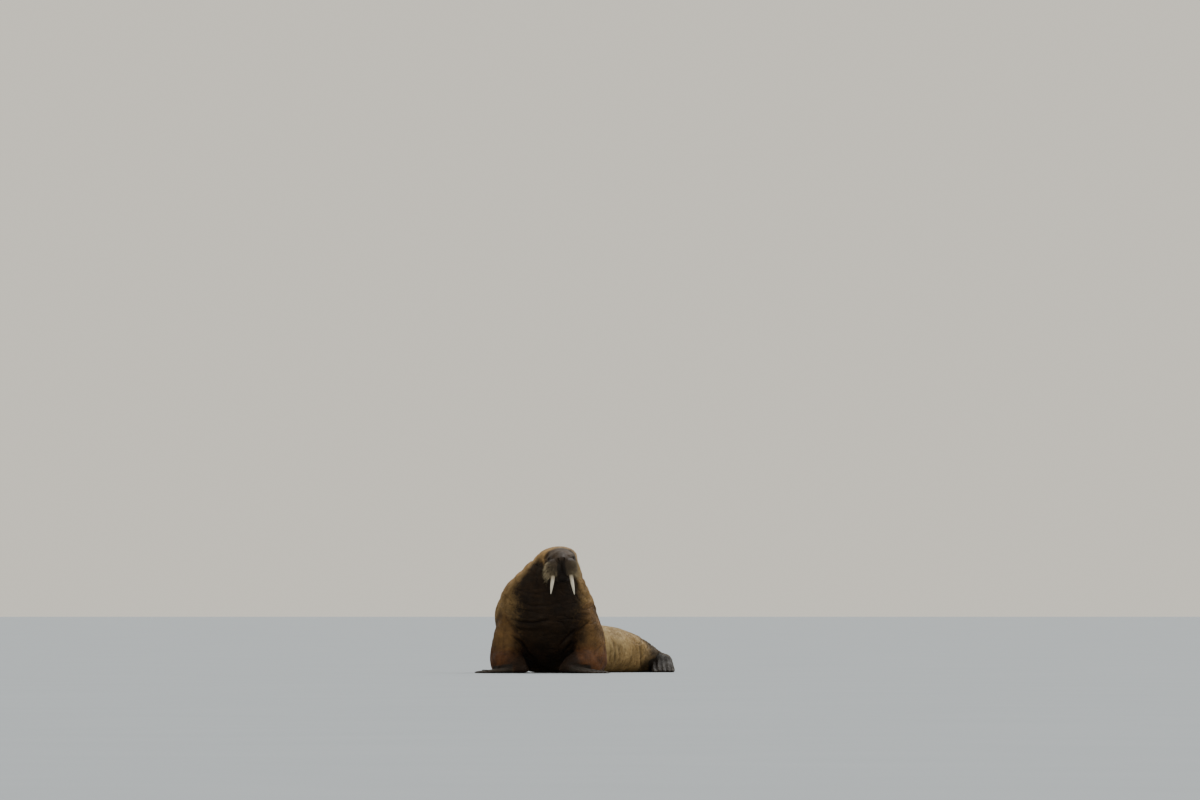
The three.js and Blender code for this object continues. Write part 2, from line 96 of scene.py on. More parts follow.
lens = bpy.data.cameras.new("camera")
lens.sensor_width = SENSOR_WIDTH
lens.lens = FOCAL_PIXELS / PICTURE_WIDTH * SENSOR_WIDTH
lens.clip_start = CLIP_NEAR
lens.clip_end = CLIP_FAR
camera = add_object("camera", lens)
camera.location = LENS_PLACE + STEP
camera.rotation_euler = (np.pi / 2 + np.arctan(LEVEL_UNDER_MIDDLE / FOCAL_PIXELS), 0, 0)
bpy.context.scene.camera = camera


# Skin
# One thick hide over blubber covers the trunk, head, limbs and tail without a seam. It is the
# union of rounded forms, softened where they join, creased where the fat folds, and refined
# round the eyes, nostrils and lips. Each row gives a place and the half sizes of a section.
COAT_DEPTH = 0.003
VOXEL = 0.0055
TRUNK = {  # x, y, z, half width, back, belly, turn in degrees
    "nape": (0.100, -0.012, 1.130, 0.220, 0.185, 0.180, 0),
    "neck": (0.052, 0.015, 1.000, 0.318, 0.240, 0.228, 0),
    "throat": (0.016, 0.075, 0.860, 0.410, 0.275, 0.270, 2),
    "shoulder": (0.012, 0.135, 0.745, 0.462, 0.295, 0.310, 4),
    "chest": (0.008, 0.215, 0.615, 0.506, 0.325, 0.350, 6),
    "brisket": (0.016, 0.340, 0.490, 0.514, 0.330, 0.405, 9),
    "ribs": (0.050, 0.520, 0.390, 0.495, 0.305, 0.420, 18),
    "waist": (0.130, 0.720, 0.320, 0.468, 0.285, 0.395, 32),
    "loin": (0.270, 0.905, 0.280, 0.445, 0.265, 0.350, 47),
    "rump": (0.470, 1.055, 0.250, 0.425, 0.243, 0.320, 58),
    "hips": (0.690, 1.155, 0.222, 0.380, 0.226, 0.290, 66),
    "thighs": (0.890, 1.220, 0.178, 0.305, 0.188, 0.240, 72),
    "shanks": (1.050, 1.262, 0.135, 0.225, 0.138, 0.185, 75),
    "hocks": (1.172, 1.293, 0.098, 0.150, 0.092, 0.140, 77),
}
SKULL = {
    "snout": (0.000, -0.150, 0.000, 0.082, 0.066, 0.080, 0),
    "bridge": (0.000, -0.095, 0.004, 0.116, 0.096, 0.105, 0),
    "eyes": (0.000, -0.035, 0.005, 0.138, 0.112, 0.125, 0),
    "brow": (0.000, 0.035, 0.008, 0.154, 0.120, 0.148, 0),
    "crown": (-0.008, 0.115, 0.006, 0.162, 0.136, 0.165, 0),
    "nape": (-0.024, 0.190, -0.006, 0.168, 0.142, 0.170, 0),
}
# The forelimbs in the chest's frame: out to the side, back, up, half width and half depth.
CHEST_PLACE = (0.025, 0.060)
CHEST_TURN = 8
UPPER_ARM = {
    "shoulder": (0.372, 0.120, 0.570, 0.118, 0.180),
    "middle": (0.398, 0.075, 0.390, 0.154, 0.192),
    "elbow": (0.424, 0.015, 0.140, 0.170, 0.170),
}
FOREARM = {
    "elbow": (0.424, -0.020, 0.112, 0.166, 0.176),
    "middle": (0.356, -0.122, 0.090, 0.152, 0.158),
    "lower": (0.288, -0.196, 0.060, 0.122, 0.118),
    "wrist": (0.236, -0.236, 0.036, 0.090, 0.080),
}
FOREARM_TURN = 38
LIMB_AROUND = 96
BODY_CONTACT = 0.040
FLIPPER_CONTACT = 0.003


def smooth_row(values, t):
    """Catmull-Rom curve through equally spaced rows of numbers, read at shares t of its length;
    the rows beyond its ends carry on straight."""
    values = np.asarray(values, float)
    last = len(values) - 1
    join = np.vstack if values.ndim > 1 else np.hstack
    padded = join([2 * values[0] - values[1], values, 2 * values[-1] - values[-2]])
    place = np.clip(t, 0, 1) * last
    start = np.minimum(place.astype(int), last - 1)
    f = place - start
    if values.ndim > 1:
        f = f[:, None]
    a, b, c, d = (padded[start + i] for i in range(4))
    return 0.5 * (2 * b + (c - a) * f + (2 * a - 5 * b + 4 * c - d) * f**2 + (3 * b - a - 3 * c + d) * f**3)


def unit(vectors):
    """Each row divided by its length."""
    return vectors / np.linalg.norm(vectors, axis=-1, keepdims=True)


def sections_at(stations, t):
    """Centre, level side axis, axis towards the back, direction and half sizes at shares t of a
    row of stations. The side axis is level at the station's turn, the direction is the path's
    own, and the axis towards the back is their cross product."""
    rows = np.array(list(stations.values()))
    read = smooth_row(rows, t)
    step = 1e-3
    along = unit(smooth_row(rows, t + step)[:, :3] - smooth_row(rows, t - step)[:, :3])
    turn = np.radians(read[:, 6])
    across = np.stack([np.cos(turn), -np.sin(turn), np.zeros_like(turn)], axis=1)
    dorsal = unit(np.cross(across, along))
    return read[:, :3], across, dorsal, along, read[:, 3:6]


def tube(stations, rings, around, front, rear):
    """Egg-shaped sections along a row of stations: centre + side cos(a) across + back or belly
    sin(a) dorsal, a quarter ellipse closing each end."""
    domes = 12
    phi = np.linspace(0, np.pi / 2, domes, endpoint=False)
    t = np.concatenate([np.zeros(domes), np.linspace(0, 1, rings), np.ones(domes)])
    scale = np.concatenate([np.sin(phi), np.ones(rings), np.sin(phi)[::-1]])
    push = np.concatenate([-front * np.cos(phi), np.zeros(rings), rear * np.cos(phi)[::-1]])
    centre, across, dorsal, along, half = sections_at(stations, t)
    angle = np.linspace(0, 2 * np.pi, around, endpoint=False)
    side = (half[:, :1] - COAT_DEPTH) * scale[:, None] * np.cos(angle)
    tall = np.where(np.sin(angle) >= 0, half[:, 1:2], half[:, 2:3]) - COAT_DEPTH
    tall = tall * scale[:, None] * np.sin(angle)
    middle = centre + push[:, None] * along
    return middle[:, None] + side[..., None] * across[:, None] + tall[..., None] * dorsal[:, None]


def lump(place, radii, power=2.0, rows=40, around=64):
    """Squared ellipsoid: radius times sin(phi) and cos(theta), sin(theta), cos(phi), each with
    its size raised to 2 / power."""
    def bend(value):
        return np.sign(value) * np.abs(value) ** (2 / power)
    phi = np.linspace(0, np.pi, rows)[:, None]
    theta = np.linspace(0, 2 * np.pi, around, endpoint=False)[None]
    grid = np.stack([
        bend(np.sin(phi)) * bend(np.cos(theta)),
        bend(np.sin(phi)) * bend(np.sin(theta)),
        bend(np.cos(phi)) * np.ones_like(theta),
    ], axis=-1)
    return np.array(place) + grid * (np.array(radii) - COAT_DEPTH)


def settled(grid, contact):
    """The grid lowered onto the floor: level under -contact, as drawn over contact, and between
    them (z + contact) squared over four contacts."""
    z = grid[..., 2]
    soft = (z + contact) ** 2 / (4 * contact)
    grid[..., 2] = np.where(z <= -contact, 0, np.where(z >= contact, z, soft))
    return grid


def limb(rows, side, turn, rings, front, rear):
    """A tube through stations that are given in the chest's frame, mirrored for the right."""
    level = np.radians(CHEST_TURN)
    stations = {}
    for name, (out, back, up, wide, deep) in rows.items():
        x = CHEST_PLACE[0] + side * out * np.cos(level) + back * np.sin(level)
        y = CHEST_PLACE[1] - side * out * np.sin(level) + back * np.cos(level)
        stations[name] = (x, y, up, wide, deep, deep, CHEST_TURN + side * turn)
    return stations, settled(tube(stations, rings, LIMB_AROUND, front, rear), BODY_CONTACT)


# Half widths and heights of a flipper from its root to its tips, and the lengths of its digits
# from the leading one to the trailing one.
FOREFLIPPER = {
    "widths": (0.062, 0.092, 0.106, 0.114, 0.115, 0.106, 0.092),
    "heights": (0.066, 0.072, 0.060, 0.044, 0.032, 0.022, 0.011),
    "lengths": (1, 0.985, 0.94, 0.88, 0.82),
    "ridge": 0.010,
    "notch": 0.013,
}
HINDFLIPPER = {
    "widths": (0.104, 0.112, 0.128, 0.150, 0.172, 0.190, 0.196),
    "heights": (0.205, 0.186, 0.148, 0.104, 0.066, 0.036, 0.013),
    "lengths": (1, 0.93, 0.9, 0.93, 1),
    "ridge": 0.015,
    "notch": 0.026,
}
FLIPPERS = {  # form, x, y, heading, bow, length, side of the leading digit, spread
    "foreflipper_right": (FOREFLIPPER, -0.222, -0.132, 182, -6, 0.500, -1, 1),
    "foreflipper_left": (FOREFLIPPER, 0.212, -0.196, -36, -4, 0.512, 1, 1),
    "hindflipper_left": (HINDFLIPPER, 1.186, 1.232, -92, 3, 0.425, 1, 0.55),
    "hindflipper_right": (HINDFLIPPER, 1.120, 1.385, 128, -4, 0.410, -1, 1),
}
DIGITS = 5


def flipper_points(name, s, u, upper):
    """A flipper's surface at s across, from its leading edge at 1 to -1, and u along it: the
    heading turns by its bow, the thickness falls off as the root of 1 - s to the power 2.4, and
    each digit is a ridge, a cosine wave of s, with the web set back between the tips."""
    form, x, y, heading, bow, length, lead, spread = FLIPPERS[name]
    share = (1 - s) / 2
    digit = np.cos(np.pi * DIGITS * s)
    reach = smooth_row(form["lengths"], share) * length * u + form["notch"] * 0.5 * (digit - 1) * u**4
    angle = np.radians(heading + bow * u)
    wide = smooth_row(form["widths"], u) * (1 + (spread - 1) * u) * s * lead
    tall = smooth_row(form["heights"], u)
    thin = np.sqrt(np.clip(1 - ((u - 0.95) / 0.05).clip(0) ** 2, 0, 1))
    crest = form["ridge"] * (0.5 + 0.5 * digit) * (1 - s**8)
    crest = crest * np.sin(np.pi / 2 * np.minimum(1, u * 1.15)) * np.minimum(1, tall / form["ridge"])
    swell = tall / 2 * np.sqrt(np.clip(1 - np.abs(s) ** 2.4, 0, 1))
    rise = np.where(upper, swell + crest, -swell) * thin
    return np.stack([
        x + np.cos(angle) * reach - np.sin(angle) * wide,
        y + np.sin(angle) * reach + np.cos(angle) * wide,
        tall / 2 + rise - FLIPPER_CONTACT,
    ], axis=-1)


def flipper(name, rows=90, around=120):
    """Rings round a flipper from its root to its tips; s is the cosine of the angle round it."""
    angle = np.linspace(0, 2 * np.pi, around, endpoint=False)
    u, a = np.meshgrid(np.linspace(0, 1, rows), angle, indexing="ij")
    upper = np.sin(a).ravel() >= 0
    grid = flipper_points(name, np.cos(a).ravel(), u.ravel(), upper).reshape(rows, around, 3)
    return settled(grid, FLIPPER_CONTACT)


def mirrored(place, side):
    """The place on the left or, with its x turned round, on the right."""
    return np.array([side * place[0], place[1], place[2]])


PAD = {"place": (0.069, -0.128, -0.068), "radii": (0.092, 0.084, 0.095), "power": 2.3}
NOSE = {"place": (0, -0.142, -0.002), "radii": (0.074, 0.070, 0.060), "power": 2.3}
JAW = {"place": (0, -0.072, -0.150), "radii": (0.092, 0.104, 0.062), "power": 2.2}
LIP = {"place": (0, -0.150, -0.136), "radii": (0.054, 0.030, 0.020)}
BROW = {"place": (0.092, -0.020, 0.036), "radii": (0.044, 0.070, 0.044)}
TAIL = {"place": (1.214, 1.322, 0.090), "radii": (0.076, 0.039, 0.026)}

limbs = {}
trunk = settled(tube(TRUNK, rings=240, around=160, front=0.146, rear=0.100), BODY_CONTACT)
forms = [trunk, settled(lump(**TAIL), FLIPPER_CONTACT)]
for side in (1, -1):
    limbs["upper", side], grid = limb(UPPER_ARM, side, turn=0, rings=60, front=0.090, rear=0.150)
    forms.append(grid)
    limbs["fore", side], grid = limb(FOREARM, side, turn=FOREARM_TURN, rings=60, front=0.150, rear=0.078)
    forms.append(grid)
    for form in (PAD, BROW):
        forms.append(head_to_body(lump(**{**form, "place": mirrored(form["place"], side)})))
forms.append(head_to_body(tube(SKULL, rings=80, around=96, front=0.030, rear=0.060)))
forms += [head_to_body(lump(**form)) for form in (NOSE, JAW, LIP)]
forms += [flipper(name) for name in FLIPPERS]


def mesh_of(name, points, faces):
    """A mesh of these points of the body's frame, set in the model's frame."""
    mesh = bpy.data.meshes.new(name)
    mesh.from_pydata((points + STEP).tolist(), [], faces)
    mesh.update()
    return mesh


def grid_faces(rows, around, first=0):
    """Quads between the rings of a grid that closes on itself sideways, with a cap on each end."""
    ring = np.arange(around)
    low = (np.arange(rows - 1) * around)[:, None]
    quads = np.stack([low + ring, low + (ring + 1) % around, low + around + (ring + 1) % around,
                      low + around + ring], axis=-1).reshape(-1, 4) + first
    last = (rows - 1) * around + first
    return quads.tolist() + [(ring[::-1] + first).tolist(), (ring + last).tolist()]


points, faces = [], []
for grid in forms:
    faces += grid_faces(grid.shape[0], grid.shape[1], sum(len(p) for p in points))
    points.append(grid.reshape(-1, 3))
core = add_object("core", mesh_of("core", np.vstack(points), faces))
bm = bmesh.new()
bm.from_mesh(core.data)
bmesh.ops.recalc_face_normals(bm, faces=bm.faces)
bm.to_mesh(core.data)
bm.free()
remesh = core.modifiers.new("union", "REMESH")
remesh.mode = "VOXEL"
remesh.voxel_size = VOXEL
hide = bpy.data.meshes.new_from_object(core.evaluated_get(bpy.context.evaluated_depsgraph_get()))
bpy.data.objects.remove(core)


def read_points(mesh):
    """All vertices of a mesh in the body's frame."""
    flat = np.empty(len(mesh.vertices) * 3, np.float32)
    mesh.vertices.foreach_get("co", flat)
    return flat.reshape(-1, 3).astype(float) - STEP


def write_points(mesh, points):
    """All vertices of a mesh put where these points of the body's frame are."""
    mesh.vertices.foreach_set("co", (points + STEP).astype(np.float32).ravel())
    mesh.update()


def read_edges(mesh):
    """The two ends of each edge."""
    flat = np.empty(len(mesh.edges) * 2, np.int32)
    mesh.edges.foreach_get("vertices", flat)
    return flat.reshape(-1, 2)


def neighbour_mean(points, edges, counts):
    """The mean of each vertex's neighbours."""
    total = np.empty_like(points)
    for axis in range(points.shape[1]):
        ends = points[:, axis]
        total[:, axis] = np.bincount(edges[:, 0], ends[edges[:, 1]], len(points))
        total[:, axis] += np.bincount(edges[:, 1], ends[edges[:, 0]], len(points))
    return total / counts[:, None]


def relaxed(points, edges, softness, rounds):
    """Points moved half way to their neighbours' mean, times their softness, in each round."""
    counts = np.bincount(edges.ravel(), minlength=len(points)).clip(1)
    for _ in range(rounds):
        points = points + 0.5 * softness[:, None] * (neighbour_mean(points, edges, counts) - points)
    return points


def ramp(values, low, high):
    """0 under low, 1 over high, and smooth between: 3 t squared - 2 t cubed."""
    t = ((values - low) / (high - low)).clip(0, 1)
    return t * t * (3 - 2 * t)


def flipper_share(points):
    """How much a point belongs to a flipper: 1 on it, fading in over its root and upwards."""
    share = np.zeros(len(points))
    for form, x, y, heading, bow, length, lead, spread in FLIPPERS.values():
        angle = np.radians(heading + bow * 0.5)
        ahead = (points[:, 0] - x) * np.cos(angle) + (points[:, 1] - y) * np.sin(angle)
        aside = np.abs(-(points[:, 0] - x) * np.sin(angle) + (points[:, 1] - y) * np.cos(angle))
        u = ahead / length
        over = points[:, 2] - smooth_row(form["heights"], u)
        past = aside - smooth_row(form["widths"], u) * (1 + (spread - 1) * u)
        inside = ramp(u, 0.10, 0.30) * ramp(-past, -0.040, -0.015) * ramp(-over, -0.045, -0.010)
        share = np.maximum(share, inside)
    return share


SMOOTH_ROUNDS = 110
FACE_SOFTNESS = 0.10
FLIPPER_SOFTNESS = 0.06

points = read_points(hide)
edges = read_edges(hide)
local = body_to_head(points)
face = ramp(-local[:, 1], -0.02, 0.05) * ramp(local[:, 2], -0.26, -0.20)
softness = 1 - (1 - FACE_SOFTNESS) * face
softness = softness * (1 - (1 - FLIPPER_SOFTNESS) * flipper_share(points))
points = relaxed(points, edges, softness, SMOOTH_ROUNDS)
points[:, 2] = points[:, 2].clip(0)
write_points(hide, points)


def refine(mesh, wanted):
    """Cuts in four the quads whose corners are all wanted."""
    bm = bmesh.new()
    bm.from_mesh(mesh)
    bm.verts.ensure_lookup_table()
    cut = [e for e in bm.edges if wanted[e.verts[0].index] and wanted[e.verts[1].index]]
    bmesh.ops.subdivide_edges(bm, edges=cut, cuts=1, use_grid_fill=True)
    bm.to_mesh(mesh)
    bm.free()


NOSTRIL = {"place": (0.033, -0.203, 0.012), "radius": 0.015, "spread": 70}
FACE_FROM = -0.005
CHIN_LEVEL = -0.225
EYE_REGION = 0.042
NOSTRIL_REGION = 0.030


def on_left(points):
    """Points of the head, those of its right side mirrored to its left."""
    return np.stack([np.abs(points[:, 0]), points[:, 1], points[:, 2]], axis=1)


def distance_to(local, place):
    """The distance from points of the head to a place that it has on both sides."""
    return np.linalg.norm(on_left(local) - np.array(place), axis=1)


local = body_to_head(points)
refine(hide, (local[:, 1] < FACE_FROM) & (local[:, 2] > CHIN_LEVEL))
local = body_to_head(read_points(hide))
close = distance_to(local, EYE_PLACE) < EYE_REGION
refine(hide, close | (distance_to(local, NOSTRIL["place"]) < NOSTRIL_REGION))
points = read_points(hide)
edges = read_edges(hide)


def noise(points, cell, seed):
    """Value noise from -1 to 1: a hashed number at each corner of cubes of this size, blended
    between the corners by 3 t squared - 2 t cubed."""
    place = points / np.asarray(cell) + 11.7 * seed
    base = np.floor(place).astype(np.int64)
    f = place - base
    f = f * f * (3 - 2 * f)
    total = np.zeros(len(points))
    for corner in np.ndindex(2, 2, 2):
        at = base + corner
        code = at[:, 0] * 73856093 ^ at[:, 1] * 19349663 ^ at[:, 2] * 83492791 ^ seed * 40503
        code = (code ^ (code >> 13)) * 1274126177 & 0x7FFFFFFF
        code = code ^ (code >> 15)
        weight = np.prod(np.where(corner, f, 1 - f), axis=1)
        total += weight * ((code & 0xFFFF) / 32767.5 - 1)
    return total


def place_along(stations, points, samples=200):
    """Where points lie along a row of stations: the share of its length at the nearest section,
    their places across and up in it, both 1 at its edge, how far they lie beyond its ends, and
    its direction."""
    t = np.linspace(0, 1, samples)
    centre, across, dorsal, along, half = sections_at(stations, t)
    ahead = points @ along.T - np.sum(centre * along, axis=1)
    away = np.sum(points**2, axis=1)[:, None] + np.sum(centre**2, axis=1) - 2 * points @ centre.T
    best = np.argmin(np.abs(ahead) + 0.15 * np.sqrt(away.clip(0)), axis=1)
    length = np.linalg.norm(np.gradient(centre, axis=0), axis=1) * (samples - 1)
    row = np.arange(len(points))
    t = (t[best] + ahead[row, best] / length[best]).clip(0, 1)
    centre, across, dorsal, along, half = sections_at(stations, t)
    out = points - centre
    x = np.sum(out * across, axis=1) / half[:, 0]
    y = np.sum(out * dorsal, axis=1)
    y = y / np.where(y >= 0, half[:, 1], half[:, 2])
    beyond = np.abs(np.sum(out * along, axis=1)) / half[:, 0]
    return t, x, y, beyond, along


def share_of(stations, points, samples):
    """How far out points lie from the middle of a tube and its ends: 1 on its surface."""
    _, x, y, beyond, _ = place_along(stations, points, samples)
    return np.sqrt(x**2 + y**2 + beyond**2)


def place_on_trunk(points):
    """The share of the trunk's length and the place across and up in its section, worked out for
    a part of the points at a time."""
    parts = [place_along(TRUNK, part)[:3] for part in np.array_split(points, 1 + len(points) // 30000)]
    return [np.concatenate(column) for column in zip(*parts)]


def read_normals(mesh):
    """The normal at each vertex."""
    flat = np.empty(len(mesh.vertices) * 3, np.float32)
    mesh.vertex_normals.foreach_get("vector", flat)
    return flat.reshape(-1, 3).astype(float)


TRUNK_LENGTH = 2.45
TRUNK_RADIUS = 0.36


def lay_of(t, x, y):
    """Coordinates on the hide in metres: a circle round the trunk, and the way along it."""
    scale = TRUNK_RADIUS / np.hypot(x, y).clip(1)
    return np.stack([x * scale, y * scale, TRUNK_LENGTH * t], axis=1)


def groove(value, width):
    """1 where the value is 0 and none a few widths away: e to the minus its square."""
    return np.exp(-(value / width) ** 2)


# The fat's bulges, as cell and height, and the hide's wrinkles, as cells round and along the
# trunk, with their depth and width. The folds of the neck are stations of the trunk.
BULGES = ((0.26, 0.011), (0.11, 0.0055), (0.05, 0.0022))
WRINKLES = ((0.20, 0.060, 0.0065, 0.10), (0.10, 0.030, 0.0038, 0.13), (0.055, 0.055, 0.0022, 0.14))
NECK_FOLDS = ((0.70, 0.014), (1.30, 0.012), (1.95, 0.011), (2.65, 0.009), (3.45, 0.008))
FOLD_WIDTH = 0.11
FOLD_WANDER = 0.16
# Creases of the front, as depth, half width and their course in X and Z of the body's frame.
FRONT_CREASES = (
    (0.013, 0.013, ((0.464, 0.537), (0.386, 0.48), (0.286, 0.409), (0.2, 0.323), (0.136, 0.251))),
    (0.009, 0.011, ((0.314, 0.323), (0.257, 0.287), (0.2, 0.223), (0.15, 0.137))),
    (0.013, 0.013, ((-0.329, 0.38), (-0.229, 0.294), (-0.171, 0.194), (-0.09, 0.12))),
    (0.018, 0.016, ((-0.321, 0.537), (-0.229, 0.501), (-0.114, 0.494), (0.0, 0.516), (0.057, 0.537))),
    (0.007, 0.022, ((-0.407, 0.451), (-0.417, 0.294), (-0.393, 0.123))),
    (0.008, 0.020, ((-0.064, 1.123), (-0.086, 1.009), (-0.079, 0.894), (-0.05, 0.80))),
    (0.006, 0.010, ((0.307, 0.951), (0.343, 0.837), (0.42, 0.74))),
    (0.007, 0.010, ((0.25, 0.90), (0.30, 0.79), (0.39, 0.68))),
    (0.006, 0.012, ((-0.30, 0.86), (-0.20, 0.80), (-0.08, 0.79), (0.05, 0.81), (0.16, 0.85))),
    (0.006, 0.012, ((-0.28, 0.72), (-0.12, 0.665), (0.04, 0.67), (0.20, 0.71))),
    (0.007, 0.013, ((0.643, 0.34), (0.655, 0.21), (0.640, 0.09))),
    (0.006, 0.012, ((0.686, 0.33), (0.70, 0.20), (0.690, 0.10))),
    (0.005, 0.011, ((0.724, 0.31), (0.745, 0.19), (0.735, 0.08))),
    (0.012, 0.010, ((0.955, 0.29), (0.968, 0.16), (0.960, 0.05))),
    (0.009, 0.011, ((1.143, 0.194), (1.121, 0.137), (1.10, 0.023))),
)


def crease_depth(x, z, depth, width, course):
    """How far a crease pushes the skin in: a bell curve of the distance to a bent line, shallow
    at its ends, with a soft bulge of a third of its depth beside it."""
    course = np.array(course)
    lengths = np.linalg.norm(np.diff(course, axis=0), axis=1)
    starts = np.concatenate([[0], np.cumsum(lengths)])
    nearest = np.full(len(x), np.inf)
    share = np.zeros(len(x))
    for a, b, length, start in zip(course[:-1], course[1:], lengths, starts):
        way = (b - a) / length
        run = ((x - a[0]) * way[0] + (z - a[1]) * way[1]).clip(0, length)
        away = np.hypot(x - a[0] - run * way[0], z - a[1] - run * way[1])
        closer = away < nearest
        nearest = np.where(closer, away, nearest)
        share = np.where(closer, (start + run) / starts[-1], share)
    strength = 0.25 + 0.75 * ramp(share, 0, 0.18) * ramp(1 - share, 0, 0.22)
    return depth * strength * (groove(nearest, width) - 0.35 * groove(nearest - 2.4 * width, 1.3 * width))


normals = read_normals(hide)
local = body_to_head(points)
t, x, y = place_on_trunk(points)
station = t * (len(TRUNK) - 1)
lay = lay_of(t, x, y)
on_face = ramp(-local[:, 1], -0.05, 0.04) * ramp(local[:, 2], -0.27, -0.19)
on_flipper = flipper_share(points)
on_trunk = (1 - on_face) * (1 - on_flipper) * ramp(np.hypot(x, y) + 5 * t, 0.45, 0.95)
lifted = ramp(points[:, 2], 0.002, 0.05)

push = np.zeros(len(points))
for seed, (cell, height) in enumerate(BULGES, 1):
    push += height * noise(points, cell, seed) * on_trunk
wrinkled = 0.55 + 0.45 * noise(points, 0.22, 7) + 0.35 * ramp(-station, -5.5, -3.5)
for seed, (around_cell, along_cell, depth, width) in enumerate(WRINKLES, 11):
    warp = 0.018 * noise(lay, 0.09, seed + 20)
    field = noise(lay + warp[:, None], (around_cell, around_cell, along_cell), seed)
    push -= depth * groove(field, width) * wrinkled.clip(0.15, 1.3) * on_trunk
upright = y / np.hypot(x, y).clip(1e-6)
folded = ramp(upright, -0.65, 0.05) * ramp(np.hypot(x, y), 0.4, 0.8) * on_trunk
folded *= 0.5 + 0.5 * ramp(upright, 0.1, 0.75)
for seed, (place, depth) in enumerate(NECK_FOLDS, 31):
    wave = place + FOLD_WANDER * noise(lay, 0.30, seed)
    push -= depth * folded * groove(station - wave, FOLD_WIDTH)
    push += 0.45 * depth * folded * groove(station - wave - 0.30, 1.9 * FOLD_WIDTH)
facing = ramp(-normals[:, 1], 0.10, 0.45) * (1 - on_face)
for depth, width, course in FRONT_CREASES:
    push -= crease_depth(points[:, 0], points[:, 2], depth, width, course) * facing
push += on_flipper * (0.0014 * noise(points, 0.034, 81) + 0.0008 * noise(points, 0.015, 82))
points = points + (push * lifted)[:, None] * normals


# The lids are drawn over the eyeball as a rounded rim with an almond opening, and folds run
# round them. An eye looks 32 degrees forwards, and its outer corner lies lower. Millimetres.
MM = 0.001
EYE_FORWARDS = np.radians(32)
EYE_TILT = np.radians(14)
EYE_RADIUS = 20
OPENING = {"long": 18.5, "upper": 9.5, "lower": 6.5}
LID_GAP = 0.4
LID_RISE = 5.2
LID_ROUNDING = 1.7
SOCKET = 9.5
LID_FOLDS = (  # from the opening, half width, depth above and below
    (7.5, 1.2, 2.2, 1.2),
    (12.5, 1.6, 1.6, 2.2),
    (19, 2.2, 1.6, 1.9),
)
EYE_RAYS = {"count": 7, "wander": 2, "cell": 12, "depth": 0.7, "width": 0.35}
# Where these set in or end: out of the head or up from the eyeball's middle, or away from the
# opening's edge or from the eyeball's middle.
LID_EDGES = {
    "socket in": (0, 2.0),
    "lids away": (5, 17),
    "lids out": (-4, 6),
    "upper lid up": (-4, 6),
    "folds out": (-8, 6),
    "folds away": (42, 60),
    "rays away": (4, 12),
}


def eye_axes():
    """Out of the left eye, along its opening to the back, and up across the opening."""
    out = np.array([np.cos(EYE_FORWARDS), -np.sin(EYE_FORWARDS), 0])
    back = np.array([np.sin(EYE_FORWARDS), np.cos(EYE_FORWARDS), 0])
    up = np.array([0, 0, 1.0])
    length = back * np.cos(EYE_TILT) - up * np.sin(EYE_TILT)
    return out, length, back * np.sin(EYE_TILT) + up * np.cos(EYE_TILT)


def with_lids(local):
    """The skin round an eye: its distance from the eyeball's middle becomes the lid's radius,
    less a socket inside the almond (h / long) squared + |v| / tall = 1, and bell-shaped creases
    run at set distances from the almond's edge."""
    def within(value, name):
        return ramp(value, *LID_EDGES[name])

    side = np.where(local[:, 0] < 0, -1.0, 1.0)
    folded = local / MM
    folded[:, 0] *= side
    away = folded - EYE_PLACE / MM
    out, length, up = eye_axes()
    h, v, z = away @ length, away @ up, away @ out
    radius = np.linalg.norm(away, axis=1)
    tall = np.where(v > 0, OPENING["upper"], OPENING["lower"])
    q = (h / OPENING["long"]) ** 2 + np.abs(v) / tall
    slope = np.hypot(2 * h / OPENING["long"] ** 2, 1 / tall)
    edge = (q - 1) / slope
    outside = edge.clip(0)
    lid = EYE_RADIUS + LID_GAP + LID_RISE * (1 - np.exp(-outside / LID_ROUNDING))
    lid = lid - SOCKET * within(-edge, "socket in")
    weight = (1 - within(edge, "lids away")) * within(z, "lids out")
    moved = radius + weight * (lid - radius)
    upper = within(v, "upper lid up")
    round_eye = within(z, "folds out") * (1 - within(radius, "folds away"))
    uneven = 1 + 0.5 * noise(folded, 17, 51)
    for distance, width, above, below in LID_FOLDS:
        depth = (above * upper + below * (1 - upper)) * uneven
        moved -= depth * groove(edge - distance - noise(folded, 22, 52), width) * round_eye
    spoke = EYE_RAYS["count"] * np.arctan2(v, h) + EYE_RAYS["wander"] * noise(folded, EYE_RAYS["cell"], 53)
    ray = EYE_RAYS["depth"] * groove(np.sin(spoke), EYE_RAYS["width"])
    moved -= ray * round_eye * within(edge, "rays away")
    folded = EYE_PLACE / MM + away * (moved / radius.clip(1))[:, None]
    folded[:, 0] *= side
    return folded * MM


def solid_share(folded, form):
    """How far out points lie in a lump of the head, given in millimetres and mirrored to the
    left: 1 on its surface, by the sum of its axes' shares raised to its power."""
    power = form.get("power", 2.0)
    away = on_left(folded) - np.array(form["place"]) / MM
    return np.sum(np.abs(away / (np.array(form["radii"]) / MM)) ** power, axis=1) ** (1 / power)


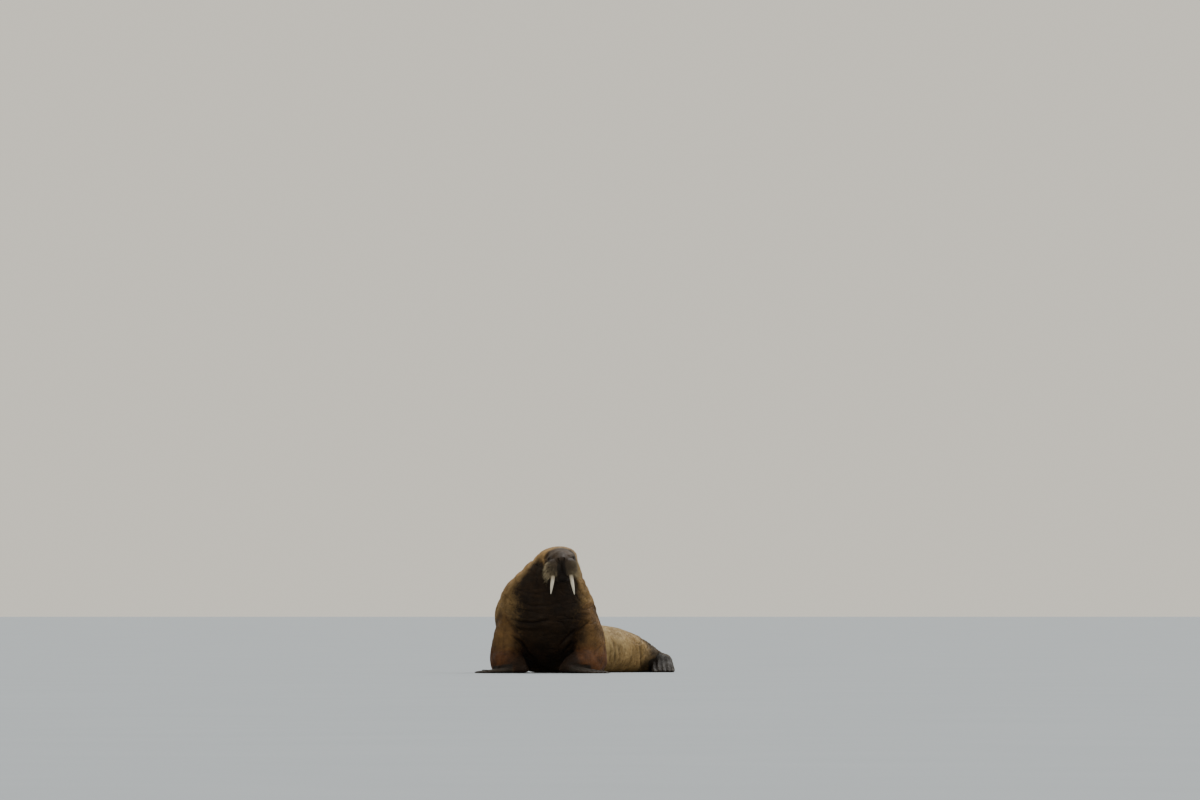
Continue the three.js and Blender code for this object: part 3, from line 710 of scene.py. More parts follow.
# The relief of the muzzle in millimetres: depths, or heights, with half widths. A crease where two
# forms meet has its half width, and how far off it lies, in shares of those forms.
NOSTRIL_RADII = (2.8, 4.2, 4.6, 5.0, 6.2)
NOSTRIL_DEPTH = 15
NOSTRIL_RIM = {"height": 2.6, "out": 3.4, "width": 2.6}
PADS_GROOVE = {"depth": 6.5, "width": 4.2}
NOSE_GROOVE = {"depth": 2.4, "width": 3.5}
MOUTH = {"depth": 8.5, "off": 0.02, "width": 0.035}
LIP_RIM = {"height": 3.0, "off": 0.11, "width": 0.05}
NOSE_CREASE = {"depth": 2.6, "width": 0.045}
CHEEK_CREASE = {"depth": 4.5, "width": 0.05}
OUTER_CREASE = {"share": 0.8, "width": 0.045}
BROW_CREASE = {"width": 3.2, "bow": 0.0011, "wander": 5, "cell": 38}
MOUND = {"height": 1.7, "width": 3.4, "ahead": 60, "top": 10, "foot": -175}
FLESH_BUMPS = ((16, 1.3), (7, 0.7))
FLESH_CRACKS = {"cell": 13, "width": 0.16}
NOSTRIL_CLEAR = 14
MOUTH_MIDDLE = (0, -60, -50)
FLESH_MIDDLE = (0, -60, -40)
MUZZLE_WRINKLES = ((-0.104, 1.6), (-0.080, 2.2), (-0.056, 2.4), (-0.030, 1.8), (0.004, 1.8), (0.040, 1.6))
# Where these set in or end: ahead of the head's middle, up or down from it, to the side, or off a
# form, as the share of it turned negative.
MUZZLE_EDGES = {
    "nostrils ahead": (165, 185),
    "groove ahead": (120, 150),
    "groove down": (-6, 18),
    "groove end down": (112, 124),
    "nose groove up": (-16, -2),
    "mouth off nose": (-1.25, -1.1),
    "mouth down": (95, 112),
    "mouth ahead": (20, 60),
    "corners down": (110, 125),
    "corners ahead": (0, 50),
    "lip down": (115, 130),
    "lip ahead": (60, 90),
    "nose crease ahead": (110, 140),
    "nose crease aside": (18, 34),
    "cheek off jaw": (-1.4, -1.12),
    "cheek ahead": (-10, 20),
    "cheek aside": (50, 80),
    "outer cheek aside": (60, 90),
    "crown up": (62, 84),
    "wrinkles aside": (70, 105),
    "flesh ahead": (0, 40),
}


def with_muzzle(local, roots):
    """The nostrils are pits along an arc, deepest at its lower end, with raised rims. Grooves
    part the pads and cross the bridge and brow, and a small mound carries each bristle."""
    def within(value, name):
        return ramp(value, *MUZZLE_EDGES[name])

    folded = local / MM
    x, y, z = np.abs(folded[:, 0]), folded[:, 1], folded[:, 2]
    right, ahead, up = np.array(NOSTRIL["place"]) / MM
    ring = NOSTRIL["radius"] / MM
    spread = np.radians(NOSTRIL["spread"])
    turn = np.arctan2(z - up, x - right + ring).clip(-spread, spread)
    away = np.hypot(x - (right - ring + ring * np.cos(turn)), z - (up + ring * np.sin(turn)))
    wide = smooth_row(NOSTRIL_RADII[::-1], (turn / spread + 1) / 2)
    front = within(-y, "nostrils ahead")
    pit = 1 / (1 + (away / wide) ** 4)
    folded[:, 1] += front * NOSTRIL_DEPTH * pit
    rim = groove(away - wide - NOSTRIL_RIM["out"], NOSTRIL_RIM["width"])
    folded[:, 1] -= front * NOSTRIL_RIM["height"] * rim
    # Groove between the pads, from the nose to the lip
    middle = within(-y, "groove ahead") * within(-z, "groove down") * (1 - within(-z, "groove end down"))
    folded[:, 1] += middle * PADS_GROOVE["depth"] * groove(x, PADS_GROOVE["width"])
    middle = within(-y, "nostrils ahead") * within(z, "nose groove up")
    folded[:, 1] += middle * NOSE_GROOVE["depth"] * groove(x, NOSE_GROOVE["width"])
    # The mouth, and the folds where the pads meet the nose and the cheeks
    pads = solid_share(folded, PAD)
    jaw = np.minimum(solid_share(folded, JAW), solid_share(folded, LIP))
    nose = solid_share(folded, NOSE)
    skull = share_of(SKULL, folded * MM, 60)
    outwards = unit(folded - np.array(MOUTH_MIDDLE))
    line = groove(pads - jaw - MOUTH["off"], MOUTH["width"])
    mouth = line * within(-nose, "mouth off nose") * within(-z, "mouth down") * within(-y, "mouth ahead")
    mouth = np.maximum(mouth, line * within(-z, "corners down") * within(-y, "corners ahead"))
    folded -= outwards * (MOUTH["depth"] * mouth)[:, None]
    lip = LIP_RIM["height"] * groove(pads - jaw - LIP_RIM["off"], LIP_RIM["width"])
    lip = lip * within(-z, "lip down") * within(-y, "lip ahead")
    folded += outwards * lip[:, None]
    crease = groove(pads - nose, NOSE_CREASE["width"])
    crease = crease * within(-y, "nose crease ahead") * within(x, "nose crease aside")
    cheek = groove(pads - skull, CHEEK_CREASE["width"]) * within(-jaw, "cheek off jaw")
    cheek = cheek * within(-y, "cheek ahead") * within(x, "cheek aside")
    outer = groove(pads - skull, OUTER_CREASE["width"]) * within(x, "outer cheek aside")
    cheek = np.maximum(cheek, outer * within(-y, "cheek ahead") * OUTER_CREASE["share"])
    folded -= outwards * (NOSE_CREASE["depth"] * crease + CHEEK_CREASE["depth"] * cheek)[:, None]
    # Folds across the bridge and the brow
    crown = within(z, "crown up")
    wander = BROW_CREASE["wander"] * noise(folded, BROW_CREASE["cell"], 61)
    for place, depth in MUZZLE_WRINKLES:
        bow = place / MM + BROW_CREASE["bow"] * x**2 + wander
        crease = crown * depth * groove(y - bow, BROW_CREASE["width"])
        folded[:, 2] -= crease * (1 - within(x, "wrinkles aside"))
    # Coarse uneven skin of the pads, cheeks and jaw
    flesh = within(-y, "flesh ahead")
    outwards = unit(folded - np.array(FLESH_MIDDLE))
    rough = sum(height * noise(folded, cell, seed) for seed, (cell, height) in enumerate(FLESH_BUMPS, 62))
    rough = rough - groove(noise(folded, FLESH_CRACKS["cell"], 64), FLESH_CRACKS["width"])
    folded += outwards * (flesh * rough * (1 - groove(away, NOSTRIL_CLEAR)))[:, None]
    mounds = np.zeros(len(folded))
    close = np.flatnonzero((-y > MOUND["ahead"]) & (z < MOUND["top"]) & (z > MOUND["foot"]))
    for part in np.array_split(close, 1 + len(close) // 4000):
        gap = np.linalg.norm(folded[part][:, None] - roots / MM, axis=2).min(axis=1)
        mounds[part] = groove(gap, MOUND["width"])
    folded += outwards * (MOUND["height"] * mounds)[:, None]
    return folded * MM


# The bristle roots lie on the pads, as the polar angles of each pad, row by row.
BRISTLE_ROWS = 14
BRISTLE_COLUMNS = 17
BRISTLE_DOWN = (0.27, 0.80)
BRISTLE_ROUND = (-104, 24)


def between(ends, share):
    """The number at a share of the way from the first end to the second."""
    return ends[0] + (ends[1] - ends[0]) * share


chance = np.random.default_rng(7)
row, column = np.meshgrid(np.arange(BRISTLE_ROWS), np.arange(BRISTLE_COLUMNS), indexing="ij")
row, column = row.ravel(), column.ravel()
roots, bristle_ways, bristle_share = [], [], []
for side in (1, -1):
    jitter = chance.uniform(-1, 1, (3, len(row)))
    low = (row + 0.5 + 0.45 * jitter[0]) / BRISTLE_ROWS
    about = (column + 0.5 + 0.5 * (row % 2 - 0.5) + 0.45 * jitter[1]) / BRISTLE_COLUMNS
    phi = np.pi * between(BRISTLE_DOWN, low)
    theta = np.radians(between(BRISTLE_ROUND, about))
    way = np.stack([side * np.sin(phi) * np.cos(theta), np.sin(phi) * np.sin(theta), np.cos(phi)], axis=1)
    blunt = np.sign(way) * np.abs(way) ** (2 / PAD["power"])
    roots.append(mirrored(PAD["place"], side) + blunt * (np.array(PAD["radii"]) - COAT_DEPTH))
    bristle_ways.append(unit(way + mirrored((0.35, 0, -0.55), side)))
    bristle_share.append(((0.25 + 0.75 * about) * low**0.7 * (0.55 + 0.45 * about)).clip(0, 1))
roots, bristle_ways = np.vstack(roots), np.vstack(bristle_ways)
bristle_share = np.concatenate(bristle_share)

# The ear is a small hole in front of a low fold of skin. Each has its place back and up, its
# half sizes and its height.
EAR_FOLD = (0.072, 0.010, 0.015, 0.011, 0.007)
EAR_HOLE = (0.060, 0.008, 0.005, 0.006, -0.011)


def with_ears(local):
    """A bump over the ear fold and a pit at its front, both bell curves of the distance."""
    side = np.where(local[:, 0] < 0, -1.0, 1.0)
    folded = local.copy()
    folded[:, 0] *= side
    rise = np.zeros(len(local))
    for back, up, long, tall, height in (EAR_FOLD, EAR_HOLE):
        rise += height * groove(np.hypot((folded[:, 1] - back) / long, (folded[:, 2] - up) / tall), 1)
    folded[:, 0] += ramp(folded[:, 0], 0.08, 0.12) * rise
    folded[:, 0] *= side
    return folded


local = with_ears(with_lids(with_muzzle(body_to_head(points), roots)))
head_share = ramp(-body_to_head(points)[:, 1], -0.11, -0.09)
points = points + head_share[:, None] * (head_to_body(local) - points)
points[:, 2] = points[:, 2].clip(0)
write_points(hide, points)


def hollow_of(points, edges, normals):
    """How hollow the skin is, from 0 on ridges to 1 in creases: the bend at each point, which is
    the height of its neighbours' mean over their distance squared, and a broader dip, which is
    the height of a much relaxed skin."""
    counts = np.bincount(edges.ravel(), minlength=len(points)).clip(1)
    reach = np.sum((points[edges[:, 0]] - points[edges[:, 1]]) ** 2, axis=1)
    ends = [np.bincount(edges[:, end], reach, len(points)) for end in (0, 1)]
    reach = (ends[0] + ends[1]) / counts
    bend = np.sum((neighbour_mean(points, edges, counts) - points) * normals, axis=1) / reach
    broad = relaxed(points, edges, np.full(len(points), 1.6), 24)
    dip = np.sum((broad - points) * normals, axis=1)
    bend = relaxed(bend[:, None], edges, np.ones(len(points)), 4)[:, 0]
    return 0.5 + 0.5 * np.tanh(0.030 * bend + dip / 0.0045)


def add_mark(mesh, name, values):
    """Numbers or triples kept at the mesh's vertices."""
    kind = "FLOAT" if values.ndim == 1 else "FLOAT_VECTOR"
    mark = mesh.attributes.new(name, kind, "POINT")
    mark.data.foreach_set("value" if values.ndim == 1 else "vector", values.astype(np.float32).ravel())


# The hollowness paints shade into the creases and light onto the ridges of the hide and hair.
add_mark(hide, "hollow", hollow_of(points, edges, read_normals(hide)))

# The mesh is thinned where it is smooth, and kept whole over the face.
SKIN_TRIANGLES = 188000
FACE_KEPT = 0.85
local = body_to_head(points)
keep = ramp(-local[:, 1], -0.02, 0.03) * ramp(local[:, 2], -0.24, -0.20)
skin = add_object("skin", hide)
group = skin.vertex_groups.new(name="thin")
levels = np.round(1 - FACE_KEPT * keep, 2)
for level in np.unique(levels):
    group.add(np.flatnonzero(levels == level).tolist(), float(level), "REPLACE")
triangles = sum(len(p.vertices) - 2 for p in hide.polygons)
thinning = skin.modifiers.new("thinning", "DECIMATE")
thinning.vertex_group = "thin"
thinning.vertex_group_factor = 1
thinning.ratio = SKIN_TRIANGLES / triangles
hide = bpy.data.meshes.new_from_object(skin.evaluated_get(bpy.context.evaluated_depsgraph_get()))
skin.modifiers.clear()
skin.vertex_groups.clear()
skin.data = hide
hide.name = "skin"
hide.shade_smooth()
hide.calc_loop_triangles()


# Marks of the hide, each a share at every point of the skin: the dark chest and throat, wet dark
# hide deepened with painted shade, with painted shade on the arms' inner sides next to the chest,
# the bare face, muzzle, nose and flippers, the pale rim of the brow, the arms and their ruddy lower
# part, the light back, carried down the flanks as painted light, the darker hind end, and how
# hollow the skin is there, which paints shade in the creases and light on the ridges.
MARK_CLOUDS = {"broad": 0.16, "small": 0.06, "fine": 0.035}
# Where each mark sets in and where it is full. On the head: ahead of the eyes' line, up or down
# from the head's middle, to the side, or around a form. On the body: up and down round the trunk,
# from the middle outwards, above the floor, or stations of the trunk.
EDGES = {
    "head around": (-1.22, -1.06),
    "head ahead": (-0.17, -0.10),
    "snout ahead": (0.02, 0.05),
    "snout up": (-0.27, -0.21),
    "brow up": (0.02, 0.10),
    "face ahead": (-0.122, -0.018),
    "muzzle ahead": (0.030, 0.075),
    "muzzle down": (-0.075, -0.015),
    "jaw ahead": (-0.04, 0.02),
    "jaw down": (0.085, 0.125),
    "nose inwards": (-0.050, -0.016),
    "nose down": (-0.020, 0.020),
    "rim ahead": (-0.135, -0.095),
    "rim back": (0.035, 0.070),
    "rim up": (-0.08, 0.06),
    "dark station": (-7.4, -5.2),
    "dark round": (0.02, 0.66),
    "dark inwards": (-0.50, -0.21),
    "dark down": (-1.23, -1.07),
    "arms around": (-1.35, -1.02),
    "inner arm inwards": (-0.42, -0.30),
    "inner arm ahead": (-0.15, 0.0),
    "bare flipper": (0.25, 0.75),
    "ruddy down": (-0.36, -0.12),
    "pale round": (-1.0, 0.35),
    "pale station": (3.5, 8.0),
    "dull station": (8.2, 11.0),
    "hind station": (10.2, 12.2),
}
BROW_BACK = 0.045
SOCKET_REACH = 0.040
CHEST_MIDDLE = 0.02


def marks_of(points, hollow):
    """Smooth ramps of the place on the trunk and the head, made uneven by noise."""
    def within(value, name):
        return ramp(value, *EDGES[name])

    local = body_to_head(points)
    aside, ahead, high = np.abs(local[:, 0]), -local[:, 1], local[:, 2]
    t, x, y = place_on_trunk(points)
    station = t * (len(TRUNK) - 1)
    up = y / np.hypot(x, y).clip(1e-6)
    broad = noise(points, MARK_CLOUDS["broad"], 71) + 0.5 * noise(points, MARK_CLOUDS["small"], 72)
    fine = noise(points, MARK_CLOUDS["fine"], 73)
    uneven = 0.018 * broad + 0.010 * fine
    head = within(-share_of(SKULL, local, 60), "head around") * within(ahead, "head ahead")
    head = np.maximum(head, within(ahead, "snout ahead") * within(high, "snout up"))
    browed = ahead + BROW_BACK * within(high, "brow up")
    face = head * within(browed + 2.2 * uneven, "face ahead")
    rim = head * within(browed, "rim ahead") * within(-browed + uneven, "rim back") * within(high, "rim up")
    muzzle = head * within(ahead + 0.6 * uneven, "muzzle ahead") * within(-high + uneven, "muzzle down")
    muzzle = np.maximum(muzzle, head * within(ahead, "jaw ahead") * within(-high, "jaw down"))
    centre = muzzle * within(-aside + uneven, "nose inwards") * within(-high, "nose down")
    socket = groove(distance_to(local, EYE_PLACE) + 0.4 * uneven, SOCKET_REACH)
    centre = np.maximum(centre, 0.8 * socket)
    lean = points[:, 0] - CHEST_MIDDLE + 0.05 * broad + 0.02 * fine
    # The dark chest and throat: wet dark hide, with painted shade on the chest's front and lower side.
    dark = within(-station, "dark station") * (1 - head)
    dark = dark * within(-up + 0.16 * broad, "dark round") * within(-np.abs(lean), "dark inwards")
    dark = dark * within(-points[:, 2] + 0.03 * broad, "dark down")
    arms = np.zeros(len(points))
    for stations in limbs.values():
        arms = np.maximum(arms, within(-share_of(stations, points, 40), "arms around"))
    bare = within(flipper_share(points) + 0.25 * broad, "bare flipper")
    # Painted shade: the arms' inner sides next to the chest and low down are darkened with the chest's dark
    # mark.
    inwards = -np.abs(points[:, 0] - CHEST_MIDDLE) - 0.25 * points[:, 2]
    inner = arms * within(inwards, "inner arm inwards") * within(-points[:, 1], "inner arm ahead")
    dark = np.maximum(dark, inner * (1 - bare))
    ruddy = arms * within(-points[:, 2] + 0.05 * broad, "ruddy down")
    # The lighter back, reaching low down the flanks as painted light.
    pale = within(up + 0.2 * broad, "pale round") * within(station, "pale station") * (1 - head)
    pale = pale * (1 - 0.55 * within(station + 0.4 * broad, "dull station"))
    hind = within(station + 0.5 * broad, "hind station")
    marks = {"dark": dark, "face": face, "muzzle": muzzle, "centre": centre, "rim": rim, "bare": bare,
             "arms": arms, "ruddy": ruddy, "pale": pale, "hind": hind, "hollow": hollow}
    return {name: value.clip(0, 1) for name, value in marks.items()}, lay_of(t, x, y)


hollow = np.empty(len(hide.vertices), np.float32)
hide.attributes["hollow"].data.foreach_get("value", hollow)
hide.attributes.remove(hide.attributes["hollow"])
points = read_points(hide)
normals = read_normals(hide)
marks, lay = marks_of(points, hollow)
for name, values in marks.items():
    add_mark(hide, name, values)
add_mark(hide, "lay", lay)


def new_tree(name, sockets):
    """A shader node group with these inputs and outputs, as way, name and kind."""
    tree = bpy.data.node_groups.new(name, "ShaderNodeTree")
    for way, label, kind in sockets:
        tree.interface.new_socket(label, in_out=way, socket_type="NodeSocket" + kind)
    return tree, tree.nodes.new("NodeGroupInput"), tree.nodes.new("NodeGroupOutput")


def give(tree, made, inputs):
    """A node's inputs linked to sockets or set to numbers and colours."""
    for name, value in inputs.items():
        if isinstance(value, bpy.types.NodeSocket):
            tree.links.new(value, made.inputs[name])
        else:
            made.inputs[name].default_value = value


def node(tree, kind, inputs=None, **settings):
    """A node with its settings and inputs."""
    made = tree.nodes.new("ShaderNode" + kind)
    for name, value in settings.items():
        setattr(made, name, value)
    give(tree, made, inputs or {})
    return made


def math(tree, operation, a, b=0.0, c=0.0):
    """A sum, product or other plain operation on numbers."""
    return node(tree, "Math", {0: a, 1: b, 2: c}, operation=operation).outputs[0]


def product(tree, *values):
    """Numbers multiplied with each other."""
    total = values[0]
    for value in values[1:]:
        total = math(tree, "MULTIPLY", total, value)
    return total


def ranged(tree, value, low, high, first=0.0, last=1.0):
    """A number's place from low to high, as a number from first to last."""
    inputs = {"Value": value, "From Min": low, "From Max": high, "To Min": first, "To Max": last}
    return node(tree, "MapRange", inputs).outputs["Result"]


def cloud(tree, place, scale, detail, roughness=0.5, distortion=0.0):
    """Soft noise from 0 to 1, with this many sizes of clouds."""
    inputs = {"Vector": place, "Scale": scale, "Detail": detail}
    inputs.update({"Roughness": roughness, "Distortion": distortion})
    return node(tree, "TexNoise", inputs).outputs["Fac"]


def cell_edges(tree, place, scale):
    """The distance to the nearest edge between cells."""
    made = node(tree, "TexVoronoi", {"Vector": place, "Scale": scale}, feature="DISTANCE_TO_EDGE")
    return made.outputs["Distance"]


def stretched(tree, place, scale):
    """Coordinates times a scale of their own along each axis."""
    return node(tree, "Mapping", {"Vector": place, "Scale": scale}).outputs["Vector"]


def bumpy(tree, height, strength, distance):
    """The surface's normal, tilted by a height."""
    inputs = {"Height": height, "Strength": strength, "Distance": distance}
    return node(tree, "Bump", inputs).outputs["Normal"]


def mixed(tree, share, a, b):
    """Colour b over colour a by a share."""
    return node(tree, "Mix", {0: share, 6: a, 7: b}, data_type="RGBA").outputs[2]


def brighter(tree, colour, value):
    """A colour times a number."""
    return node(tree, "HueSaturation", {"Color": colour, "Value": value}).outputs["Color"]


def attribute(tree, name, output="Fac"):
    """A mark kept at the vertices."""
    return node(tree, "Attribute", attribute_name=name).outputs[output]


def own_place(tree):
    """The place in the object's own coordinates."""
    return node(tree, "TexCoord").outputs["Object"]


def linear(red, green, blue):
    """A colour of the screen, 0 to 255, as the light that it gives off."""
    value = np.array([red, green, blue]) / 255
    value = np.where(value <= 0.04045, value / 12.92, ((value + 0.055) / 1.055) ** 2.4)
    return (*value.tolist(), 1.0)


# Colours of hide and hair, the main one and that of patches. Each mark lays its colours over the
# ones before it, up to a share.
HIDE_COLOUR = linear(150, 121, 79)
HIDE_PATCH = linear(112, 88, 53)
MARK_COLOURS = (
    # The pale back is lighter hide; its reach down the flanks is painted light.
    ("pale", linear(178, 156, 112), linear(152, 128, 86), 0.95),
    ("arms", linear(92, 65, 35), linear(66, 46, 24), 0.8),
    ("ruddy", linear(88, 51, 25), linear(60, 34, 16), 0.85),
    # The chest and throat are wet dark brown hide, made darker still with painted shade.
    ("dark", linear(31, 18, 8), linear(19, 10, 4), 0.97),
    ("hind", linear(66, 52, 34), linear(45, 35, 23), 0.9),
    ("rim", linear(172, 152, 118), linear(142, 120, 86), 0.75),
    ("face", linear(48, 36, 26), linear(32, 24, 17), 0.93),
    ("muzzle", linear(58, 48, 39), linear(43, 35, 28), 0.88),
    ("centre", linear(26, 20, 15), linear(19, 14, 11), 0.9),
    ("bare", linear(36, 31, 25), linear(25, 21, 17), 0.97),
)

# Painted shade: the colour that the creases and hollows of the hide and hair are darkened towards.
CREASE_SHADE_COLOUR = linear(30, 21, 15)

markings_and_painted_shading, enter, leave = new_tree("markings_and_painted_shading", (
    ("INPUT", "Hollow shade", "Float"),
    ("INPUT", "Light", "Float"),
    ("OUTPUT", "Colour", "Color"),
    ("OUTPUT", "Wet", "Float"),
))
place = own_place(markings_and_painted_shading)
patch = ranged(markings_and_painted_shading, cloud(markings_and_painted_shading, place, 9.0, 5.0, 0.62), 0.38, 0.64)
speck = cloud(markings_and_painted_shading, place, 60.0, 4.0, 0.7)
speckle = math(markings_and_painted_shading, "SUBTRACT", speck, 0.5)
colour = mixed(markings_and_painted_shading, patch, HIDE_COLOUR, HIDE_PATCH)
for name, main, second, strength in MARK_COLOURS:
    share = math(markings_and_painted_shading, "MULTIPLY_ADD", speckle, 0.9, attribute(markings_and_painted_shading, name))
    share = ranged(markings_and_painted_shading, share, 0.12, 0.88, 0.0, strength)
    colour = mixed(markings_and_painted_shading, share, colour, mixed(markings_and_painted_shading, patch, main, second))
# Painted shade: the colour darkens towards the crease shade colour where the skin is hollow, as much as the
# Hollow shade input gives.
shade = ranged(markings_and_painted_shading, attribute(markings_and_painted_shading, "hollow"), 0.56, 1.0)
colour = mixed(markings_and_painted_shading, product(markings_and_painted_shading, shade, enter.outputs["Hollow shade"]), colour, CREASE_SHADE_COLOUR)
# Painted light: ridges of the skin are brightened by up to 18 percent, and the colour is then scaled by the
# Light input and by random stains and specks.
ridge = ranged(markings_and_painted_shading, attribute(markings_and_painted_shading, "hollow"), 0.45, 0.1, 1.0, 1.18)
stain = ranged(markings_and_painted_shading, cloud(markings_and_painted_shading, place, 3.2, 6.0, 0.66), 0.36, 0.62, 0.74, 1.1)
grainy = math(markings_and_painted_shading, "MULTIPLY_ADD", speck, 0.5, 0.75)
colour = brighter(markings_and_painted_shading, colour, product(markings_and_painted_shading, ridge, stain, enter.outputs["Light"], grainy))
markings_and_painted_shading.links.new(colour, leave.inputs["Colour"])
wet = math(markings_and_painted_shading, "MAXIMUM", attribute(markings_and_painted_shading, "dark"), attribute(markings_and_painted_shading, "centre"))
markings_and_painted_shading.links.new(wet, leave.inputs["Wet"])

# Grain of the hide: cracks between flat cells, fine pores, and hair lying along the body.
CRACKS_A_METRE = 75.0
PORES_A_METRE = 420.0
grain, _, leave = new_tree("hide_grain", (("OUTPUT", "Height", "Float"),))
place = own_place(grain)
lay = attribute(grain, "lay", "Vector")
warp = node(grain, "TexNoise", {"Vector": place, "Scale": 26.0, "Detail": 3.0}).outputs["Color"]
warp = node(grain, "VectorMath", {0: warp, 1: (0.03, 0.03, 0.03)}, operation="MULTIPLY").outputs[0]
bent = node(grain, "VectorMath", {0: place, 1: warp}, operation="ADD").outputs[0]
cracks = ranged(grain, cell_edges(grain, bent, CRACKS_A_METRE), 0.0, 0.16)
pores = cloud(grain, place, PORES_A_METRE, 3.0)
hairs = cloud(grain, stretched(grain, lay, (620.0, 620.0, 70.0)), 1.0, 3.0)
bald = math(grain, "MAXIMUM", attribute(grain, "face"), attribute(grain, "bare"))
hairs = product(grain, hairs, math(grain, "SUBTRACT", 1.0, bald))
rounds = cloud(grain, stretched(grain, lay, (5.0, 5.0, 34.0)), 1.0, 2.0, distortion=0.35)
rounds = math(grain, "ABSOLUTE", math(grain, "SUBTRACT", rounds, 0.5))
furrows = ranged(grain, rounds, 0.0, 0.055)
height = math(grain, "MULTIPLY_ADD", furrows, 0.9, hairs)
height = math(grain, "MULTIPLY_ADD", cracks, 0.45, height)
height = math(grain, "MULTIPLY_ADD", pores, 0.25, height)
grain.links.new(height, leave.inputs["Height"])


def new_material(name):
    """An empty material with a Principled shader."""
    material = bpy.data.materials.new(name)
    material.use_nodes = True
    tree = material.node_tree
    return material, tree, tree.nodes["Principled BSDF"]


def placed(tree, group, inputs):
    """A node group set in a material with its values."""
    made = node(tree, "Group", node_tree=group)
    give(tree, made, inputs)
    return made.outputs


hide_material, tree, surface = new_material("hide")
look = placed(tree, markings_and_painted_shading, {"Hollow shade": 0.72, "Light": 1.0})
relief = placed(tree, grain, {})
dryness = ranged(tree, cloud(tree, own_place(tree), 14.0, 4.0), 0.35, 0.7, 0.50, 0.78)
give(tree, surface, {
    "Base Color": look["Colour"],
    "Roughness": math(tree, "MULTIPLY_ADD", look["Wet"], -0.05, dryness),
    "Specular IOR Level": 0.15,
    "Normal": bumpy(tree, relief["Height"], 0.6, 0.003),
})
hide.materials.clear()
hide.materials.append(hide_material)

FLESH = [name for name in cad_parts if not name.startswith(("eye", "tusk"))]
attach(skin, "root")
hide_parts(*FLESH)


# Eyes
# Small wet eyeballs, nearly black with a brown iris, sit deep between the lids high on either
# side of the head. Each is a ball with the clear bulge of its cornea towards the opening.
CORNEA_RISE = 0.0016
CORNEA_REACH = np.radians(32)
IRIS_REACH = np.radians(30)
PUPIL_REACH = np.radians(13)


def eyeball(side, rows, around):
    """Rings round the axis that the eye looks along: radius times sin(phi) out, cos(phi) along,
    with the cornea a bell curve of phi."""
    phi = np.linspace(0, np.pi, rows)[:, None]
    theta = np.linspace(0, 2 * np.pi, around, endpoint=False)[None] * side
    radius = EYE_RADIUS * MM + CORNEA_RISE * groove(phi, CORNEA_REACH / 1.6)
    out, length, up = eye_axes()
    grid = radius[..., None] * (
        np.cos(phi)[..., None] * out
        + (np.sin(phi) * np.cos(theta))[..., None] * length
        + (np.sin(phi) * np.sin(theta))[..., None] * up
    ) + EYE_PLACE
    return grid * np.array([side, 1, 1]), np.broadcast_to(phi, (rows, around))


EYE_ROWS = 64
EYE_AROUND = 72
PUPIL_COLOUR = linear(5, 4, 4)
WHITE_COLOUR = linear(62, 38, 31)

eye_material, tree, surface = new_material("eye")
turn = attribute(tree, "turn")
flecks = cloud(tree, own_place(tree), 900.0, 3.0)
iris = mixed(tree, flecks, linear(40, 21, 11), linear(18, 10, 7))
colour = mixed(tree, ranged(tree, turn, PUPIL_REACH, PUPIL_REACH + 0.05), PUPIL_COLOUR, iris)
colour = mixed(tree, ranged(tree, turn, IRIS_REACH + 0.25, IRIS_REACH + 0.5), colour, WHITE_COLOUR)
give(tree, surface, {
    "Base Color": colour,
    "Roughness": ranged(tree, flecks, 0.3, 0.8, 0.10, 0.20),
    "Specular IOR Level": 0.10,
    "Coat Weight": 0.12,
    "Coat Roughness": 0.05,
})
for side, name in ((1, "left"), (-1, "right")):
    grid, phi = eyeball(side, EYE_ROWS, EYE_AROUND)
    flat = head_to_body(grid).reshape(-1, 3)
    ball = add_object("eyeball_" + name, mesh_of("eyeball_" + name, flat, grid_faces(EYE_ROWS, EYE_AROUND)))
    add_mark(ball.data, "turn", phi.ravel())
    ball.data.shade_smooth()
    ball.data.materials.append(eye_material)
    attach(ball, "root")
    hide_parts("eye_" + name)


# Tusks
# Two ivory canine teeth come out of the upper jaw beside the lower lip. They curve and taper to
# worn blunt tips, with shallow lengthwise furrows, fine cracks and brown stain at the root.
TUSK_ROOT = (0.080, -0.140, -0.092)
TUSK_TIP_OUT = 0.118
TUSK_TIP_AHEAD = -0.150
TUSK_REACH = {1: -0.346, -1: -0.326}
TUSK_LEAN = -0.008
TUSK_BOW = 0.020
TUSK_RADII = (0.020, 0.0195, 0.0185, 0.016, 0.011, 0.0035)


def path_frames(path):
    """Two axes across a path at each of its points, square to its direction and to X."""
    along = unit(np.gradient(path, axis=0))
    first = unit(np.cross(along, np.array([1.0, 0, 0])))
    return along, first, np.cross(along, first)


